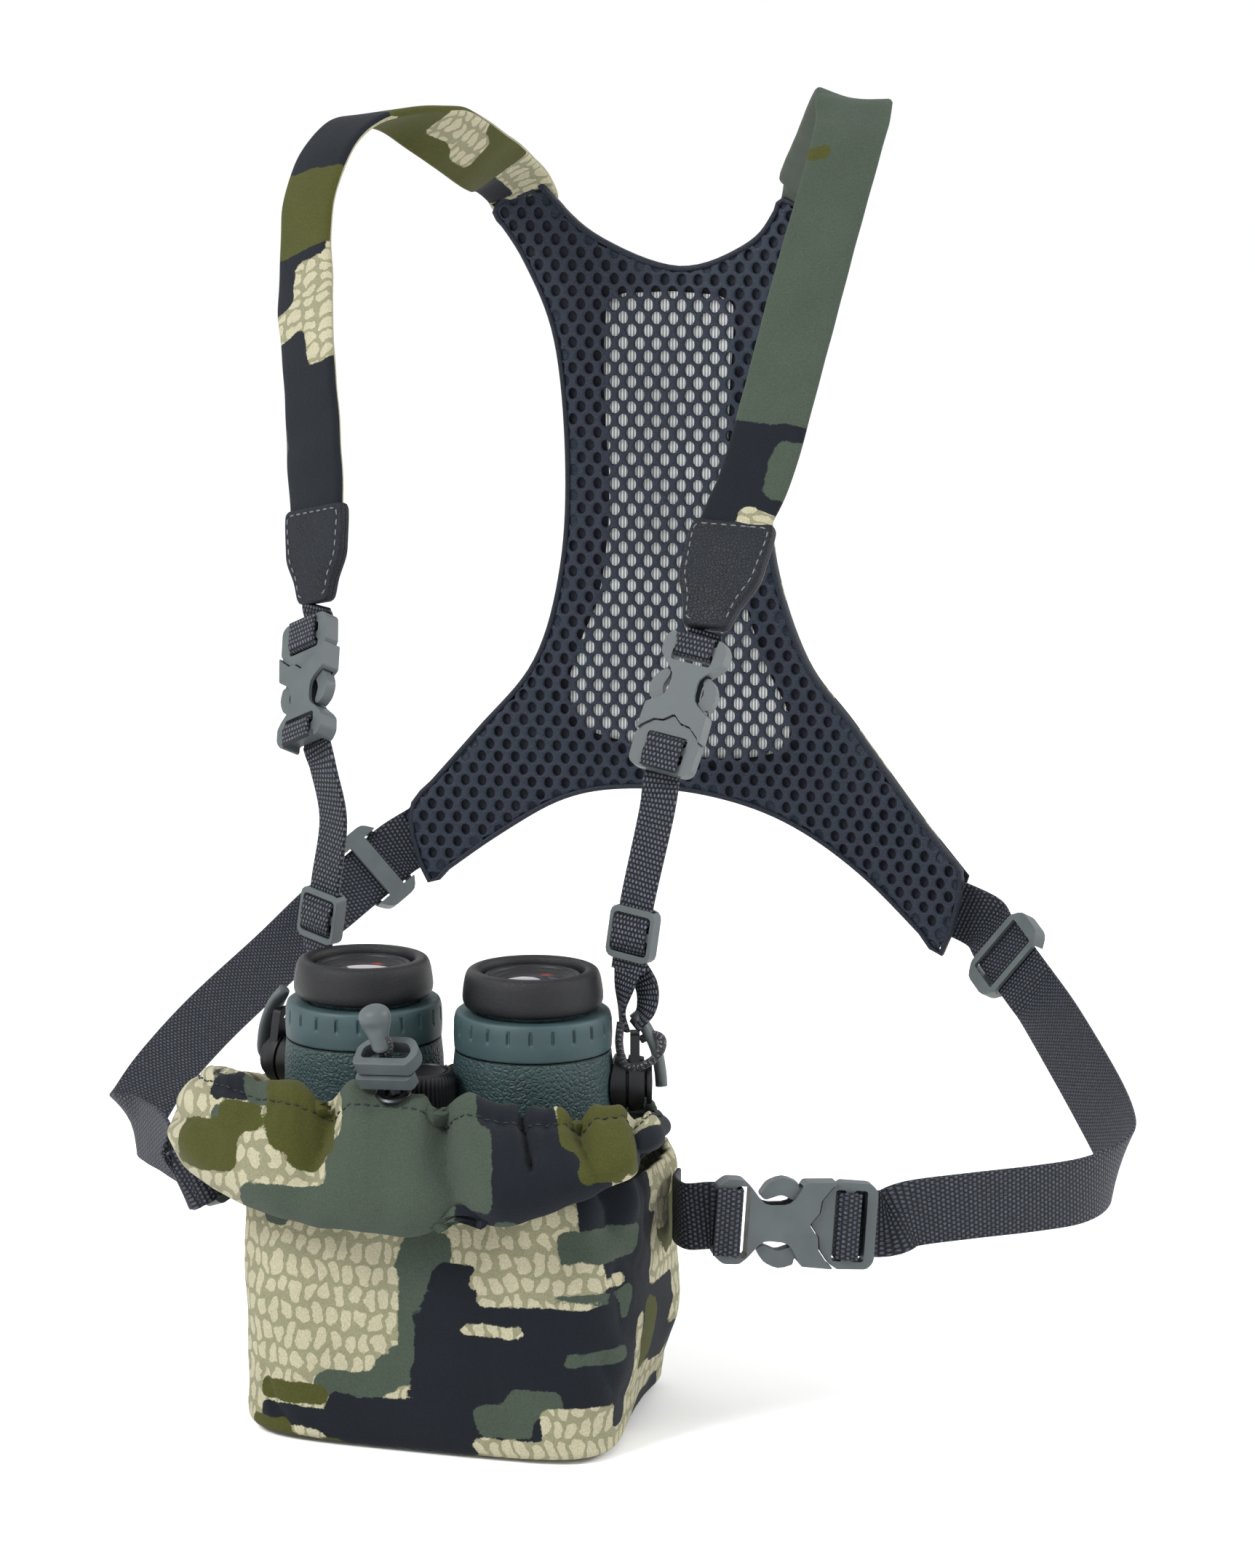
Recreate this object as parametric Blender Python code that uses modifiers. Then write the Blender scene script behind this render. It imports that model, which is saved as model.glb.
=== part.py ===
"""Binocular harness pack: a soft pouch that holds a binocular, hung from a padded back panel by two
shoulder straps with side-release buckles and steadied by a waist strap on each side.

Lengths below are in millimetres and are turned into metres where a mesh is made. The origin is the
centre of the pouch's base. +X is to the right as seen from the front, +Y is towards the wearer, +Z is up."""

import math

import bmesh
import bpy
import numpy as np
from mathutils import Matrix, Vector

MM = 0.001
GAP = 0.35

# Binocular
EYE_SPACING = 56.0
BINO_X = -5.0
BINO_Y = 2.0
BARREL_R = 25.4
BARREL_BORE_R = 22.4
BARREL_FOOT_Z = 8.0
BARREL_TOP_Z = 116.8
NECK_R = 17.6
NECK_TOP_Z = 130.0
EYEPIECE_R = 15.4
EYEPIECE_BORE_R = 13.8
EYEPIECE_TOP_Z = 137.6
RING_R = 24.6
RING_TOP_Z = 129.0
EYECUP_R = 21.6
EYECUP_TOP_Z = 142.0
EYECUP_BORE_R = 16.0
WHEEL_Y = -22.0
WHEEL_R = 10.4
WHEEL_TOP_Z = 113.4
WHEEL_FOOT_Z = 98.5
BRIDGE_TOP_Z = 97.0
BRIDGE_FOOT_Z = 58.0
LUG_Z = 105.5
LUG_TILT = math.radians(17)

# Pouch
POUCH_RIM_Z = 83.0
POUCH_WALL = 2.4
COLLAR_WALL = 2.6

# Harness
SHOULDER_W = 25.0
SHOULDER_T = 2.6
WAIST_W = 21.0
WAIST_T = 1.5
TETHER_W = 12.0
TETHER_T = 1.6
PANEL_Y = 248.0
TAB_T = 4.0

SIDES = {"left": -1, "right": 1}


def material(name, colour, roughness, metallic=0.0):
    """A Principled material with one colour, made once and shared by name."""
    found = bpy.data.materials.get(name)
    if found:
        return found
    made = bpy.data.materials.new(name)
    made.use_nodes = True
    shader = made.node_tree.nodes["Principled BSDF"]
    shader.inputs["Base Color"].default_value = (*colour, 1)
    shader.inputs["Roughness"].default_value = roughness
    shader.inputs["Metallic"].default_value = metallic
    return made


ARMOUR = ("armour", (0.045, 0.085, 0.085), 0.6)
BLACK_RUBBER = ("black_rubber", (0.018, 0.018, 0.02), 0.6)
BLACK_PLASTIC = ("black_plastic", (0.02, 0.021, 0.023), 0.45)
LENS = ("lens_glass", (0.05, 0.03, 0.06), 0.05)
PRISM = ("prism_glass", (0.8, 0.85, 0.86), 0.05)
CAMO = ("camo_fabric", (0.3, 0.3, 0.2), 0.9)
SPACER = ("spacer_mesh", (0.03, 0.04, 0.055), 0.85)
INSERT = ("pad_insert", (0.62, 0.64, 0.66), 0.8)
LEATHER = ("tab_leather", (0.035, 0.04, 0.05), 0.55)
WEBBING = ("webbing", (0.015, 0.018, 0.028), 0.8)
HARDWARE = ("grey_hardware", (0.17, 0.19, 0.19), 0.45)
CORD = ("elastic_cord", (0.03, 0.03, 0.035), 0.8)
METAL = ("grommet_metal", (0.06, 0.06, 0.07), 0.35, 1.0)


def clear_scene():
    for obj in list(bpy.data.objects):
        bpy.data.objects.remove(obj, do_unlink=True)


def new_collection(name, cutters=False):
    made = bpy.data.collections.new(name)
    bpy.context.scene.collection.children.link(made)
    made.hide_render = cutters
    return made


clear_scene()
PACK = new_collection("binocular_harness_pack")
CUTTERS = new_collection("cutters", cutters=True)


# Small helpers for shapes

def add_object(name, mesh, look, place=None, smooth=True):
    """Puts a mesh in the scene as one named part."""
    obj = bpy.data.objects.new(name, mesh)
    if look:
        mesh.materials.append(material(*look))
        PACK.objects.link(obj)
    else:
        CUTTERS.objects.link(obj)
        obj.hide_render = True
        obj.display_type = "WIRE"
    if place:
        obj.matrix_world = place
    if smooth:
        mesh.shade_smooth()
        mesh.set_sharp_from_angle(angle=math.radians(40))
    return obj


def mesh_of(bm, name):
    """Scales a bmesh built in millimetres to metres and returns it as a mesh that faces out."""
    closed = all(edge.is_manifold for edge in bm.edges)
    if closed and bm.calc_volume(signed=True) < 0:
        bmesh.ops.reverse_faces(bm, faces=bm.faces)
    bmesh.ops.scale(bm, vec=(MM, MM, MM), verts=bm.verts)
    mesh = bpy.data.meshes.new(name)
    bm.to_mesh(mesh)
    bm.free()
    return mesh


def boolean(obj, other, operation="DIFFERENCE"):
    cut = obj.modifiers.new(other.name, "BOOLEAN")
    cut.operation = operation
    cut.object = other
    return obj


def bevel(obj, width, segments=1, angle=50):
    edge = obj.modifiers.new("edges", "BEVEL")
    edge.width = width * MM
    edge.segments = segments
    edge.limit_method = "ANGLE"
    edge.angle_limit = math.radians(angle)
    return obj


def box(name, low, high, look=None, place=None):
    bm = bmesh.new()
    bmesh.ops.create_cube(bm, size=1)
    low, high = Vector(low), Vector(high)
    bmesh.ops.scale(bm, vec=high - low, verts=bm.verts)
    bmesh.ops.translate(bm, vec=(high + low) / 2, verts=bm.verts)
    return add_object(name, mesh_of(bm, name), look, place, smooth=False)


def cylinder(name, centre, radius, low, high, look=None, segments=40, place=None):
    """A cylinder that stands on its own local Z axis."""
    bm = bmesh.new()
    bmesh.ops.create_cone(
        bm, cap_ends=True, segments=segments, radius1=radius, radius2=radius, depth=high - low
    )
    bmesh.ops.translate(bm, vec=(centre[0], centre[1], (high + low) / 2), verts=bm.verts)
    return add_object(name, mesh_of(bm, name), look, place)


def turned(name, profile, look, place, steps=32):
    """A shape turned about its own Z axis from a profile of (radius, height), outer side top to bottom."""
    bm = bmesh.new()
    points = [bm.verts.new((r, 0, z)) for r, z in profile]
    closed_ring = all(r > 0.01 for r, _ in profile)
    for a, b in zip(points, points[1:]):
        bm.edges.new((a, b))
    if closed_ring:
        bm.edges.new((points[-1], points[0]))
    obj = add_object(name, mesh_of(bm, name), look, place)
    screw = obj.modifiers.new("turn", "SCREW")
    screw.steps = steps
    screw.render_steps = steps
    screw.use_merge_vertices = True
    screw.merge_threshold = 0.00001
    screw.use_smooth_shade = True
    return obj


def smooth_curve(points, steps):
    """A Catmull-Rom curve through the points, with so many steps between each pair."""
    p = np.array(points, float)
    p = np.vstack([2 * p[0] - p[1], p, 2 * p[-1] - p[-2]])
    out = []
    for i in range(1, len(p) - 2):
        for t in np.arange(steps) / steps:
            a = 2 * p[i] + (p[i + 1] - p[i - 1]) * t
            b = (2 * p[i - 1] - 5 * p[i] + 4 * p[i + 1] - p[i + 2]) * t**2
            c = (3 * p[i] - p[i - 1] - 3 * p[i + 1] + p[i + 2]) * t**3
            out.append((a + b + c) / 2)
    return np.array(out + [p[-2]])


def unit(v):
    return np.asarray(v, float) / np.linalg.norm(v)


def frame_at(origin, along, across):
    """A placing matrix: local X runs along, local Y across, and local Z out of the face."""
    x = unit(along)
    y = np.asarray(across, float)
    y = unit(y - x * (y @ x))
    z = np.cross(x, y)
    placed = Matrix(np.column_stack([x, y, z]).tolist()).to_4x4()
    placed.translation = Vector(origin) * MM
    return placed


def ribbon(name, route, width, thickness, look, steps=4, across_steps=2, place=None):
    """A strap through (centre, across) pairs: flat webbing or padded tape that bends and twists."""
    centres = smooth_curve([c for c, _ in route], steps)
    across = smooth_curve([unit(a) for _, a in route], steps)
    tangents = np.gradient(centres, axis=0)
    bm = bmesh.new()
    bmesh.ops.create_grid(bm, x_segments=len(centres) - 1, y_segments=across_steps, size=0.5)
    for v in bm.verts:
        i = round((v.co.x + 0.5) * (len(centres) - 1))
        tangent = unit(tangents[i])
        side = unit(across[i] - tangent * (across[i] @ tangent))
        v.co = Vector(centres[i] + side * v.co.y * width)
    obj = add_object(name, mesh_of(bm, name), look, place)
    thick = obj.modifiers.new("thickness", "SOLIDIFY")
    thick.thickness = thickness * MM
    thick.offset = 0
    return obj


def filleted(corners, steps=3):
    """A closed outline from (x, y, radius) corners, with each corner rounded by an arc."""
    out = []
    count = len(corners)
    for i, (x, y, radius) in enumerate(corners):
        here = Vector((x, y))
        back = Vector(corners[i - 1][:2]) - here
        ahead = Vector(corners[(i + 1) % count][:2]) - here
        if radius == 0:
            out.append(here)
            continue
        half = back.angle(ahead) / 2
        reach = min(radius / math.tan(half), back.length * 0.49, ahead.length * 0.49)
        radius = reach * math.tan(half)
        start, end = here + back.normalized() * reach, here + ahead.normalized() * reach
        hub = here + (back.normalized() + ahead.normalized()).normalized() * radius / math.sin(half)
        a, b = start - hub, end - hub
        turn = a.angle_signed(b)
        for k in range(steps + 1):
            spin = Matrix.Rotation(-turn * k / steps, 2)
            out.append(hub + spin @ a)
    return [(p.x, p.y) for p in out]


def mirrored(half):
    """Completes an outline whose half at y >= 0 is given from its first to its last x."""
    other = [(x, -y, r) for x, y, r in reversed(half) if abs(y) > 1e-6]
    return half + other


def plate_bmesh(outline, holes, low, high):
    """A flat plate between two heights, with holes through it."""
    bm = bmesh.new()
    edges = []
    for loop in [outline, *holes]:
        verts = [bm.verts.new((x, y, low)) for x, y in loop]
        edges += [bm.edges.new(pair) for pair in zip(verts, verts[1:] + verts[:1])]
    bmesh.ops.triangle_fill(bm, use_beauty=True, use_dissolve=False, edges=edges)
    bmesh.ops.recalc_face_normals(bm, faces=bm.faces)
    made = bmesh.ops.extrude_face_region(bm, geom=bm.faces[:])
    top = [g for g in made["geom"] if isinstance(g, bmesh.types.BMVert)]
    bmesh.ops.translate(bm, vec=(0, 0, high - low), verts=top)
    bmesh.ops.recalc_face_normals(bm, faces=bm.faces)
    return bm


def plate(name, outline, holes, low, high, look=None, place=None):
    return add_object(name, mesh_of(plate_bmesh(outline, holes, low, high), name), look, place)


def rectangle(x0, x1, half_y, radius):
    corners = [(x0, -half_y), (x1, -half_y), (x1, half_y), (x0, half_y)]
    return filleted([(x, y, radius) for x, y in corners])


def tube(name, route, radius, look, steps=4):
    """A cord along a smooth curve, as a bevelled curve turned into one closed mesh."""
    points = smooth_curve(route, steps)
    data = bpy.data.curves.new(name, "CURVE")
    data.dimensions = "3D"
    data.bevel_depth = radius * MM
    data.bevel_resolution = 2
    data.use_fill_caps = True
    spline = data.splines.new("POLY")
    spline.points.add(len(points) - 1)
    for point, co in zip(spline.points, points):
        point.co = (*(Vector(co) * MM), 1)
    data.materials.append(material(*look))
    obj = bpy.data.objects.new(name, data)
    PACK.objects.link(obj)
    return obj


def ring_section(half_x, half_y, power, centre, z, count):
    """Points round a rounded rectangle: power 2 is an ellipse, and a higher power is squarer."""
    angles = [2 * math.pi * (i + 0.5) / count for i in range(count)]
    points = []
    for a in angles:
        c, s = math.cos(a), math.sin(a)
        x = half_x * math.copysign(abs(c) ** (2 / power), c)
        y = half_y * math.copysign(abs(s) ** (2 / power), s)
        points.append((centre[0] + x, centre[1] + y, z(a) if callable(z) else z))
    return points


def loft(sections, close_first=False):
    """A skin through rings of points that have the same count, from the first ring to the last."""
    bm = bmesh.new()
    rings = [[bm.verts.new(p) for p in section] for section in sections]
    for low, high in zip(rings, rings[1:]):
        for i in range(len(low)):
            j = (i + 1) % len(low)
            bm.faces.new((low[i], low[j], high[j], high[i]))
    if close_first:
        bm.faces.new(rings[0][::-1])
    bmesh.ops.recalc_face_normals(bm, faces=bm.faces)
    return bm


def shell(name, sections, wall, look, close_first=False):
    obj = add_object(name, mesh_of(loft(sections, close_first), name), look)
    thick = obj.modifiers.new("wall", "SOLIDIFY")
    thick.thickness = wall * MM
    thick.offset = -1
    return obj


# The binocular

def barrel_place(side, z=0.0):
    return Matrix.Translation(Vector((BINO_X + side * EYE_SPACING / 2, BINO_Y, z)) * MM)


def barrel(name, side):
    profile = [
        (NECK_R, NECK_TOP_Z),
        (NECK_R, BARREL_TOP_Z),
        (BARREL_R - 1.0, BARREL_TOP_Z),
        (BARREL_R - 0.4, BARREL_TOP_Z - 6),
        (BARREL_R, 90),
        (BARREL_R, BARREL_FOOT_Z + 1),
        (BARREL_R - 1, BARREL_FOOT_Z),
        (BARREL_BORE_R, BARREL_FOOT_Z),
        (BARREL_BORE_R, BARREL_TOP_Z - 8),
        (EYEPIECE_BORE_R, BARREL_TOP_Z - 3),
        (EYEPIECE_BORE_R, EYEPIECE_TOP_Z),
        (EYEPIECE_R, EYEPIECE_TOP_Z),
        (EYEPIECE_R, NECK_TOP_Z),
    ]
    return turned(f"barrel_{name}", profile, ARMOUR, barrel_place(side), steps=40)


def ocular_ring(name, side):
    inner = NECK_R + GAP
    profile = [
        (RING_R - 1.2, RING_TOP_Z),
        (RING_R, RING_TOP_Z - 1.2),
        (RING_R, BARREL_TOP_Z + GAP),
        (inner, BARREL_TOP_Z + GAP),
        (inner, RING_TOP_Z),
    ]
    return turned(f"ocular_ring_{name}", profile, ARMOUR, barrel_place(side), steps=32)


def eyecup(name, side):
    foot = NECK_TOP_Z + GAP
    profile = [
        (EYECUP_BORE_R + 1.6, EYECUP_TOP_Z),
        (EYECUP_R - 1.2, EYECUP_TOP_Z),
        (EYECUP_R, EYECUP_TOP_Z - 1.4),
        (EYECUP_R, foot + 1.2),
        (EYECUP_R - 1, foot),
        (EYECUP_BORE_R, foot),
        (EYECUP_BORE_R, EYECUP_TOP_Z - 3),
    ]
    return turned(f"eyecup_{name}", profile, BLACK_RUBBER, barrel_place(side), steps=32)


def eyepiece_lens(name, side):
    radius = EYEPIECE_BORE_R - GAP
    profile = [(0, 137.0), (radius * 0.6, 136.6), (radius, 135.4), (radius, 131.5), (0, 131.5)]
    return turned(f"eyepiece_lens_{name}", profile, LENS, barrel_place(side), steps=24)


def objective_lens(name, side):
    radius = BARREL_BORE_R - GAP
    profile = [(0, 17.2), (radius, 17.2), (radius, 13), (radius * 0.6, 11.6), (0, 11.2)]
    return turned(f"objective_lens_{name}", profile, LENS, barrel_place(side), steps=24)


def prism(name, side):
    """The roof prism that turns the picture upright, as a block with two sloping ends."""
    half_x, half_y = 13.0, 15.5
    corners = [(55, -half_y, 0), (86, -half_y, 0), (78, half_y, 0), (63, half_y, 0)]
    place = barrel_place(side) @ Matrix.Rotation(math.radians(-90), 4, "Y")
    return plate(f"prism_{name}", filleted(corners), [], -half_x, half_x, PRISM, place)


def bridge():
    """The hinge bridge between the barrels, with the spigot that the focus wheel turns on."""
    body = box("bridge", (BINO_X - 12, -29, BRIDGE_FOOT_Z), (BINO_X + 12, 14, BRIDGE_TOP_Z), BLACK_PLASTIC)
    for name, side in SIDES.items():
        centre = (BINO_X + side * EYE_SPACING / 2, BINO_Y)
        boolean(body, cylinder(f"bridge_relief_{name}", centre, BARREL_R + GAP, 40, 120, segments=64))
    spigot = cylinder("bridge_spigot", (BINO_X, WHEEL_Y), 3.0, BRIDGE_TOP_Z - 4, WHEEL_FOOT_Z + 7, segments=20)
    return boolean(body, spigot, "UNION")


def focus_wheel():
    bore, deep = 3.0 + GAP, WHEEL_FOOT_Z + 7 + GAP
    profile = [
        (0, WHEEL_TOP_Z),
        (WHEEL_R - 1.8, WHEEL_TOP_Z),
        (WHEEL_R - 1.0, WHEEL_TOP_Z - 0.8),
        (WHEEL_R, WHEEL_FOOT_Z + 6),
        (WHEEL_R, WHEEL_FOOT_Z + 1),
        (WHEEL_R - 0.8, WHEEL_FOOT_Z),
        (bore, WHEEL_FOOT_Z),
        (bore, deep),
        (0, deep),
    ]
    place = Matrix.Translation(Vector((BINO_X, WHEEL_Y, 0)) * MM)
    return turned("focus_wheel", profile, BLACK_PLASTIC, place, steps=28)


def lug_place(side):
    """Local Z runs outwards from the barrel's axis through the lug, local X runs down."""
    out = Vector((side * math.cos(LUG_TILT), math.sin(LUG_TILT), 0))
    down = Vector((0, 0, -1))
    placed = Matrix((down, out.cross(down), out)).transposed().to_4x4()
    placed.translation = Vector((BINO_X + side * EYE_SPACING / 2, BINO_Y, LUG_Z)) * MM
    return placed


def lug_connector(name, side):
    """The round base, the quick-connect ring with its upright tab and the thin outer cap."""
    place = lug_place(side)
    profile = [
        (0, 37.2), (6.4, 37.0), (6.7, 36.2), (6.7, 35.4), (4.5, 35.2), (4.5, 34.8), (8.2, 34.6), (8.8, 32),
        (8.8, 29.8), (7.5, 29.5), (7.5, 29.1), (8.8, 28.8), (9.6, 22), (0, 22),
    ]
    body = turned(f"lug_connector_{name}", profile, BLACK_PLASTIC, place, steps=24)
    tab = plate(
        f"lug_tab_{name}",
        filleted([(-16.4, -4, 1.5), (-16.4, 4, 1.5), (-2, 7, 0), (-2, -7, 0)]),
        [filleted([(-14.6, -2.2, 0.8), (-12, -2.2, 0.8), (-12, 2.2, 0.8), (-14.6, 2.2, 0.8)], 1)],
        30.2, 33.2, place=place,
    )
    boolean(body, tab, "UNION")
    reach = BARREL_R + GAP
    relief = cylinder(f"lug_relief_{name}", (0, 0), reach, 80, 125, segments=64, place=barrel_place(side))
    return boolean(body, relief)


# The pouch

def pouch_body():
    """A fabric bag, open at the top: boxy at the base, with a soft rim inside the collar."""
    levels = [
        (0.0, 60, 45.5, 4.6, (3, -2.5)),
        (1.5, 62.5, 48.0, 5.0, (3, -2.5)),
        (6.0, 63.5, 48.7, 4.8, (2, -2)),
        (22.0, 64, 47.5, 4.4, (1, -1)),
        (45.0, 64, 46, 4.2, (0.5, 0)),
        (66.0, 64, 44.5, 4.0, (0.5, 0)),
        (POUCH_RIM_Z - 6, 64.5, 44, 3.6, (1, 0)),
        (POUCH_RIM_Z, 62.5, 42.5, 3.4, (1, 0)),
    ]
    sections = [ring_section(a, b, power, centre, z, 44) for z, a, b, power, centre in levels]
    return shell("pouch_body", sections, POUCH_WALL, CAMO, close_first=True)


# Each ring of the collar runs from the middle of the front round by the right, the back and the left.
COLLAR_EDGE = [
    (-2, -60, 72.5), (40, -57, 79), (68, -40, 91), (66.5, -14, 93.5), (59.5, 16, 87.5), (43, 35, 86),
    (0, 36, 85), (-42, 36, 84), (-70, 28, 86), (-87, -12, 82), (-74, -42, 80), (-42, -56, 74.5),
]
COLLAR_BULGE = [
    (-2, -62.5, 83), (41, -59, 88), (71, -41, 98), (69, -14, 97.5), (61, 17, 91), (45, 36.5, 91),
    (0, 38.5, 90), (-43, 38, 90), (-73.5, 27, 91), (-90, -10, 92), (-77, -44, 91), (-43, -59, 84),
]
COLLAR_SHOULDER = [
    (-5, -51, 102), (38, -50, 101), (67.5, -36, 105), (68, -13, 101.5), (60.5, 16.5, 94), (44, 36, 96),
    (-2, 38, 98), (-46, 37, 97), (-73, 25, 94.5), (-86, -8, 100.5), (-73, -38, 105), (-41, -50, 100.5),
]
COLLAR_CREST = [
    (-7, -41, 110.5), (33, -40, 107), (60, -31, 107), (65.5, -11, 101), (58.5, 16, 95), (42, 35, 98),
    (-4, 36.5, 100), (-47, 35.5, 99), (-71, 24, 95.5), (-80.5, -6, 104), (-66, -32, 109.5), (-38, -40, 108),
]
COLLAR_INSIDE = [
    (-7, -37, 105.5), (32, -35, 101), (57, -27, 101), (62.5, -9, 96.5), (56, 15.5, 93.5), (40, 33.5, 95),
    (-4, 35, 97), (-45, 34, 96), (-68, 22, 92.5), (-76.5, -4, 98), (-63, -28, 104), (-37, -35, 104),
]
COLLAR_THROAT = [
    (-6, -34.5, 97.5), (24, -31.5, 95), (47, -22, 94), (53, 0, 91), (50, 18, 90.5), (30, 31, 91),
    (-5, 33, 94), (-38, 32, 93), (-61, 20, 90.5), (-64, 0, 91.5), (-57, -22, 94), (-34, -31.5, 96),
]


def closed_curve(points, steps):
    """A smooth closed loop through the points."""
    loop = smooth_curve(points[-2:] + points + points[:2], steps)
    return loop[2 * steps : -2 * steps]


def pouch_collar():
    """The gathered top: a cuff that hangs outside the bag and turns in round the binocular."""
    rings = [COLLAR_EDGE, COLLAR_BULGE, COLLAR_SHOULDER, COLLAR_CREST, COLLAR_INSIDE, COLLAR_THROAT]
    columns = [smooth_curve(column, 2) for column in zip(*rings)]
    levels = [[tuple(p) for p in level] for level in zip(*columns)]
    collar = shell("pouch_collar", [closed_curve(level, 4) for level in levels], COLLAR_WALL, CAMO)
    hole = cylinder("grommet_hole", (0, 0), 4.2, -8, 8, segments=24, place=GROMMET_PLACE)
    return boolean(collar, hole)


GROMMET_PLACE = frame_at((-7.0, -42.2, 110.6), (1, 0, 0), (0, math.cos(0.45), math.sin(0.45)))


def grommet():
    """The metal eyelet in the collar's front that both ends of the drawcord leave by."""
    profile = [(4.8, 1.3), (5.8, 0.8), (5.8, 0.35), (3.8, 0.35), (3.8, -4.2), (3.0, -4.2), (3.0, 0.7)]
    return turned("grommet", profile, METAL, GROMMET_PLACE, steps=20)


LOCK_PLACE = frame_at((-7.4, -43.8, 120.0), (0.99, -0.05, 0.06), (0.02, 0.80, 0.60))


def cord_lock_body():
    """The lock's frame: an oval ring round the cord with a straight front rail."""
    outer = [(-10.3, -4.2, 1.5), (7.5, -4.2, 1.5), (10.6, 1, 5), (7.5, 7, 5), (-6.5, 7, 5), (-10.3, 3, 4)]
    inner = [(-8.2, -1.4, 1.2), (6.6, -1.4, 1.2), (7.8, 1.6, 3), (5.5, 4.7, 3), (-5, 4.7, 3), (-8.2, 2.6, 2)]
    return plate("cord_lock_body", filleted(outer), [filleted(inner)], -0.4, 4.6, HARDWARE, LOCK_PLACE)


def cord_lock_jaw():
    """The sprung jaw below the front rail, pressed in to free the cord."""
    corners = [(-10.6, -5.6, 1.2), (7.2, -5.6, 1.5), (8.2, -2.6, 1.2), (8.2, -1.6, 0.5), (-10.6, -1.6, 1)]
    jaw = plate("cord_lock_jaw", filleted(corners), [], -5.6, -1.0, HARDWARE, LOCK_PLACE)
    return bevel(jaw, 0.6)


def cord_knob():
    """The teardrop end that hides the drawcord's knot."""
    profile = [
        (0, 17.2), (2.6, 16.7), (4.3, 14.8), (4.9, 12.4), (4.2, 10.0), (3.2, 7.2), (2.8, 5.6), (0, 5.2),
    ]
    place = LOCK_PLACE @ Matrix.Translation(Vector((-1.6, 2, 0.6)) * MM)
    return turned("cord_knob", profile, HARDWARE, place, steps=20)


def drawcord():
    """The elastic cord's free end: up out of the eyelet, through the lock and back to its knob."""
    route = [(-1.6, 0.8, -4.0), (-1.7, 1.4, -1.0), (-1.6, 1.8, 2.5), (-1.6, 2, 5.4)]
    points = [LOCK_PLACE @ (Vector(p) * MM) / MM for p in route]
    return tube("drawcord", points, 1.1, CORD, steps=3)


# The back panel

def panel_outline(steps=4):
    """The panel seen from the front, as smooth runs that meet at the wings' corners."""
    runs = [
        [(-55, 375), (-34, 355.5), (-2, 344), (25, 353.5), (37, 369)],
        [(37, 369), (54, 361)],
        [(54, 361), (44, 335), (36, 305), (32, 272), (34, 239), (46, 205), (64, 183), (90, 151), (108, 131)],
        [(108, 131), (99, 103)],
        [(99, 103), (68, 130), (39, 147), (9, 155), (-21, 156), (-45, 151), (-69, 137), (-95, 118)],
        [(-95, 118), (-104, 143)],
        [(-104, 143), (-77, 174), (-55, 201), (-45, 236), (-43, 276), (-47, 318), (-58, 346), (-71, 365.5)],
        [(-71, 365.5), (-55, 375)],
    ]
    points = []
    for run in runs:
        points += [tuple(p) for p in smooth_curve(run, steps if len(run) > 2 else 1)[:-1]]
    return points


def insert_outline():
    """The firm insert: long and tapered at the neck, spread into two feet at the wings."""
    left = [(-31, 345), (-33, 300), (-32, 262), (-36, 228), (-50, 205), (-48, 190), (-30, 178)]
    right = [(6, 172), (30, 176), (46, 182), (44, 196), (28, 212), (20, 240), (16, 275), (18, 312), (24, 348)]
    points = smooth_curve(left + right, 2)
    return [tuple(p) for p in points] + [(-2, 339)]


def bowed_sheet(name, outline, low, high, look):
    """A sheet that faces forwards, bowed so that its wings come towards the front."""
    bm = plate_bmesh(outline, [], low, high)
    for x in range(-90, 106, 20):
        bmesh.ops.bisect_plane(
            bm, geom=bm.verts[:] + bm.edges[:] + bm.faces[:], plane_co=(x, 0, 0), plane_no=(1, 0, 0)
        )
    for v in bm.verts:
        x, z, depth = v.co
        bow = 10 * ((x + 3) / 105) ** 2
        v.co = (x, PANEL_Y - bow + depth, z)
    bmesh.ops.recalc_face_normals(bm, faces=bm.faces)
    return add_object(name, mesh_of(bm, name), look)


def back_panel():
    bowed_sheet("back_panel_mesh", panel_outline(), -3.2, 0, SPACER)
    bowed_sheet("back_panel_insert", insert_outline(), GAP, 2.6, INSERT)
    bowed_sheet("back_panel_cover", panel_outline(), 2.6 + GAP, 4.2, CAMO)


# Shoulder straps, tabs and tethers

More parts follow.
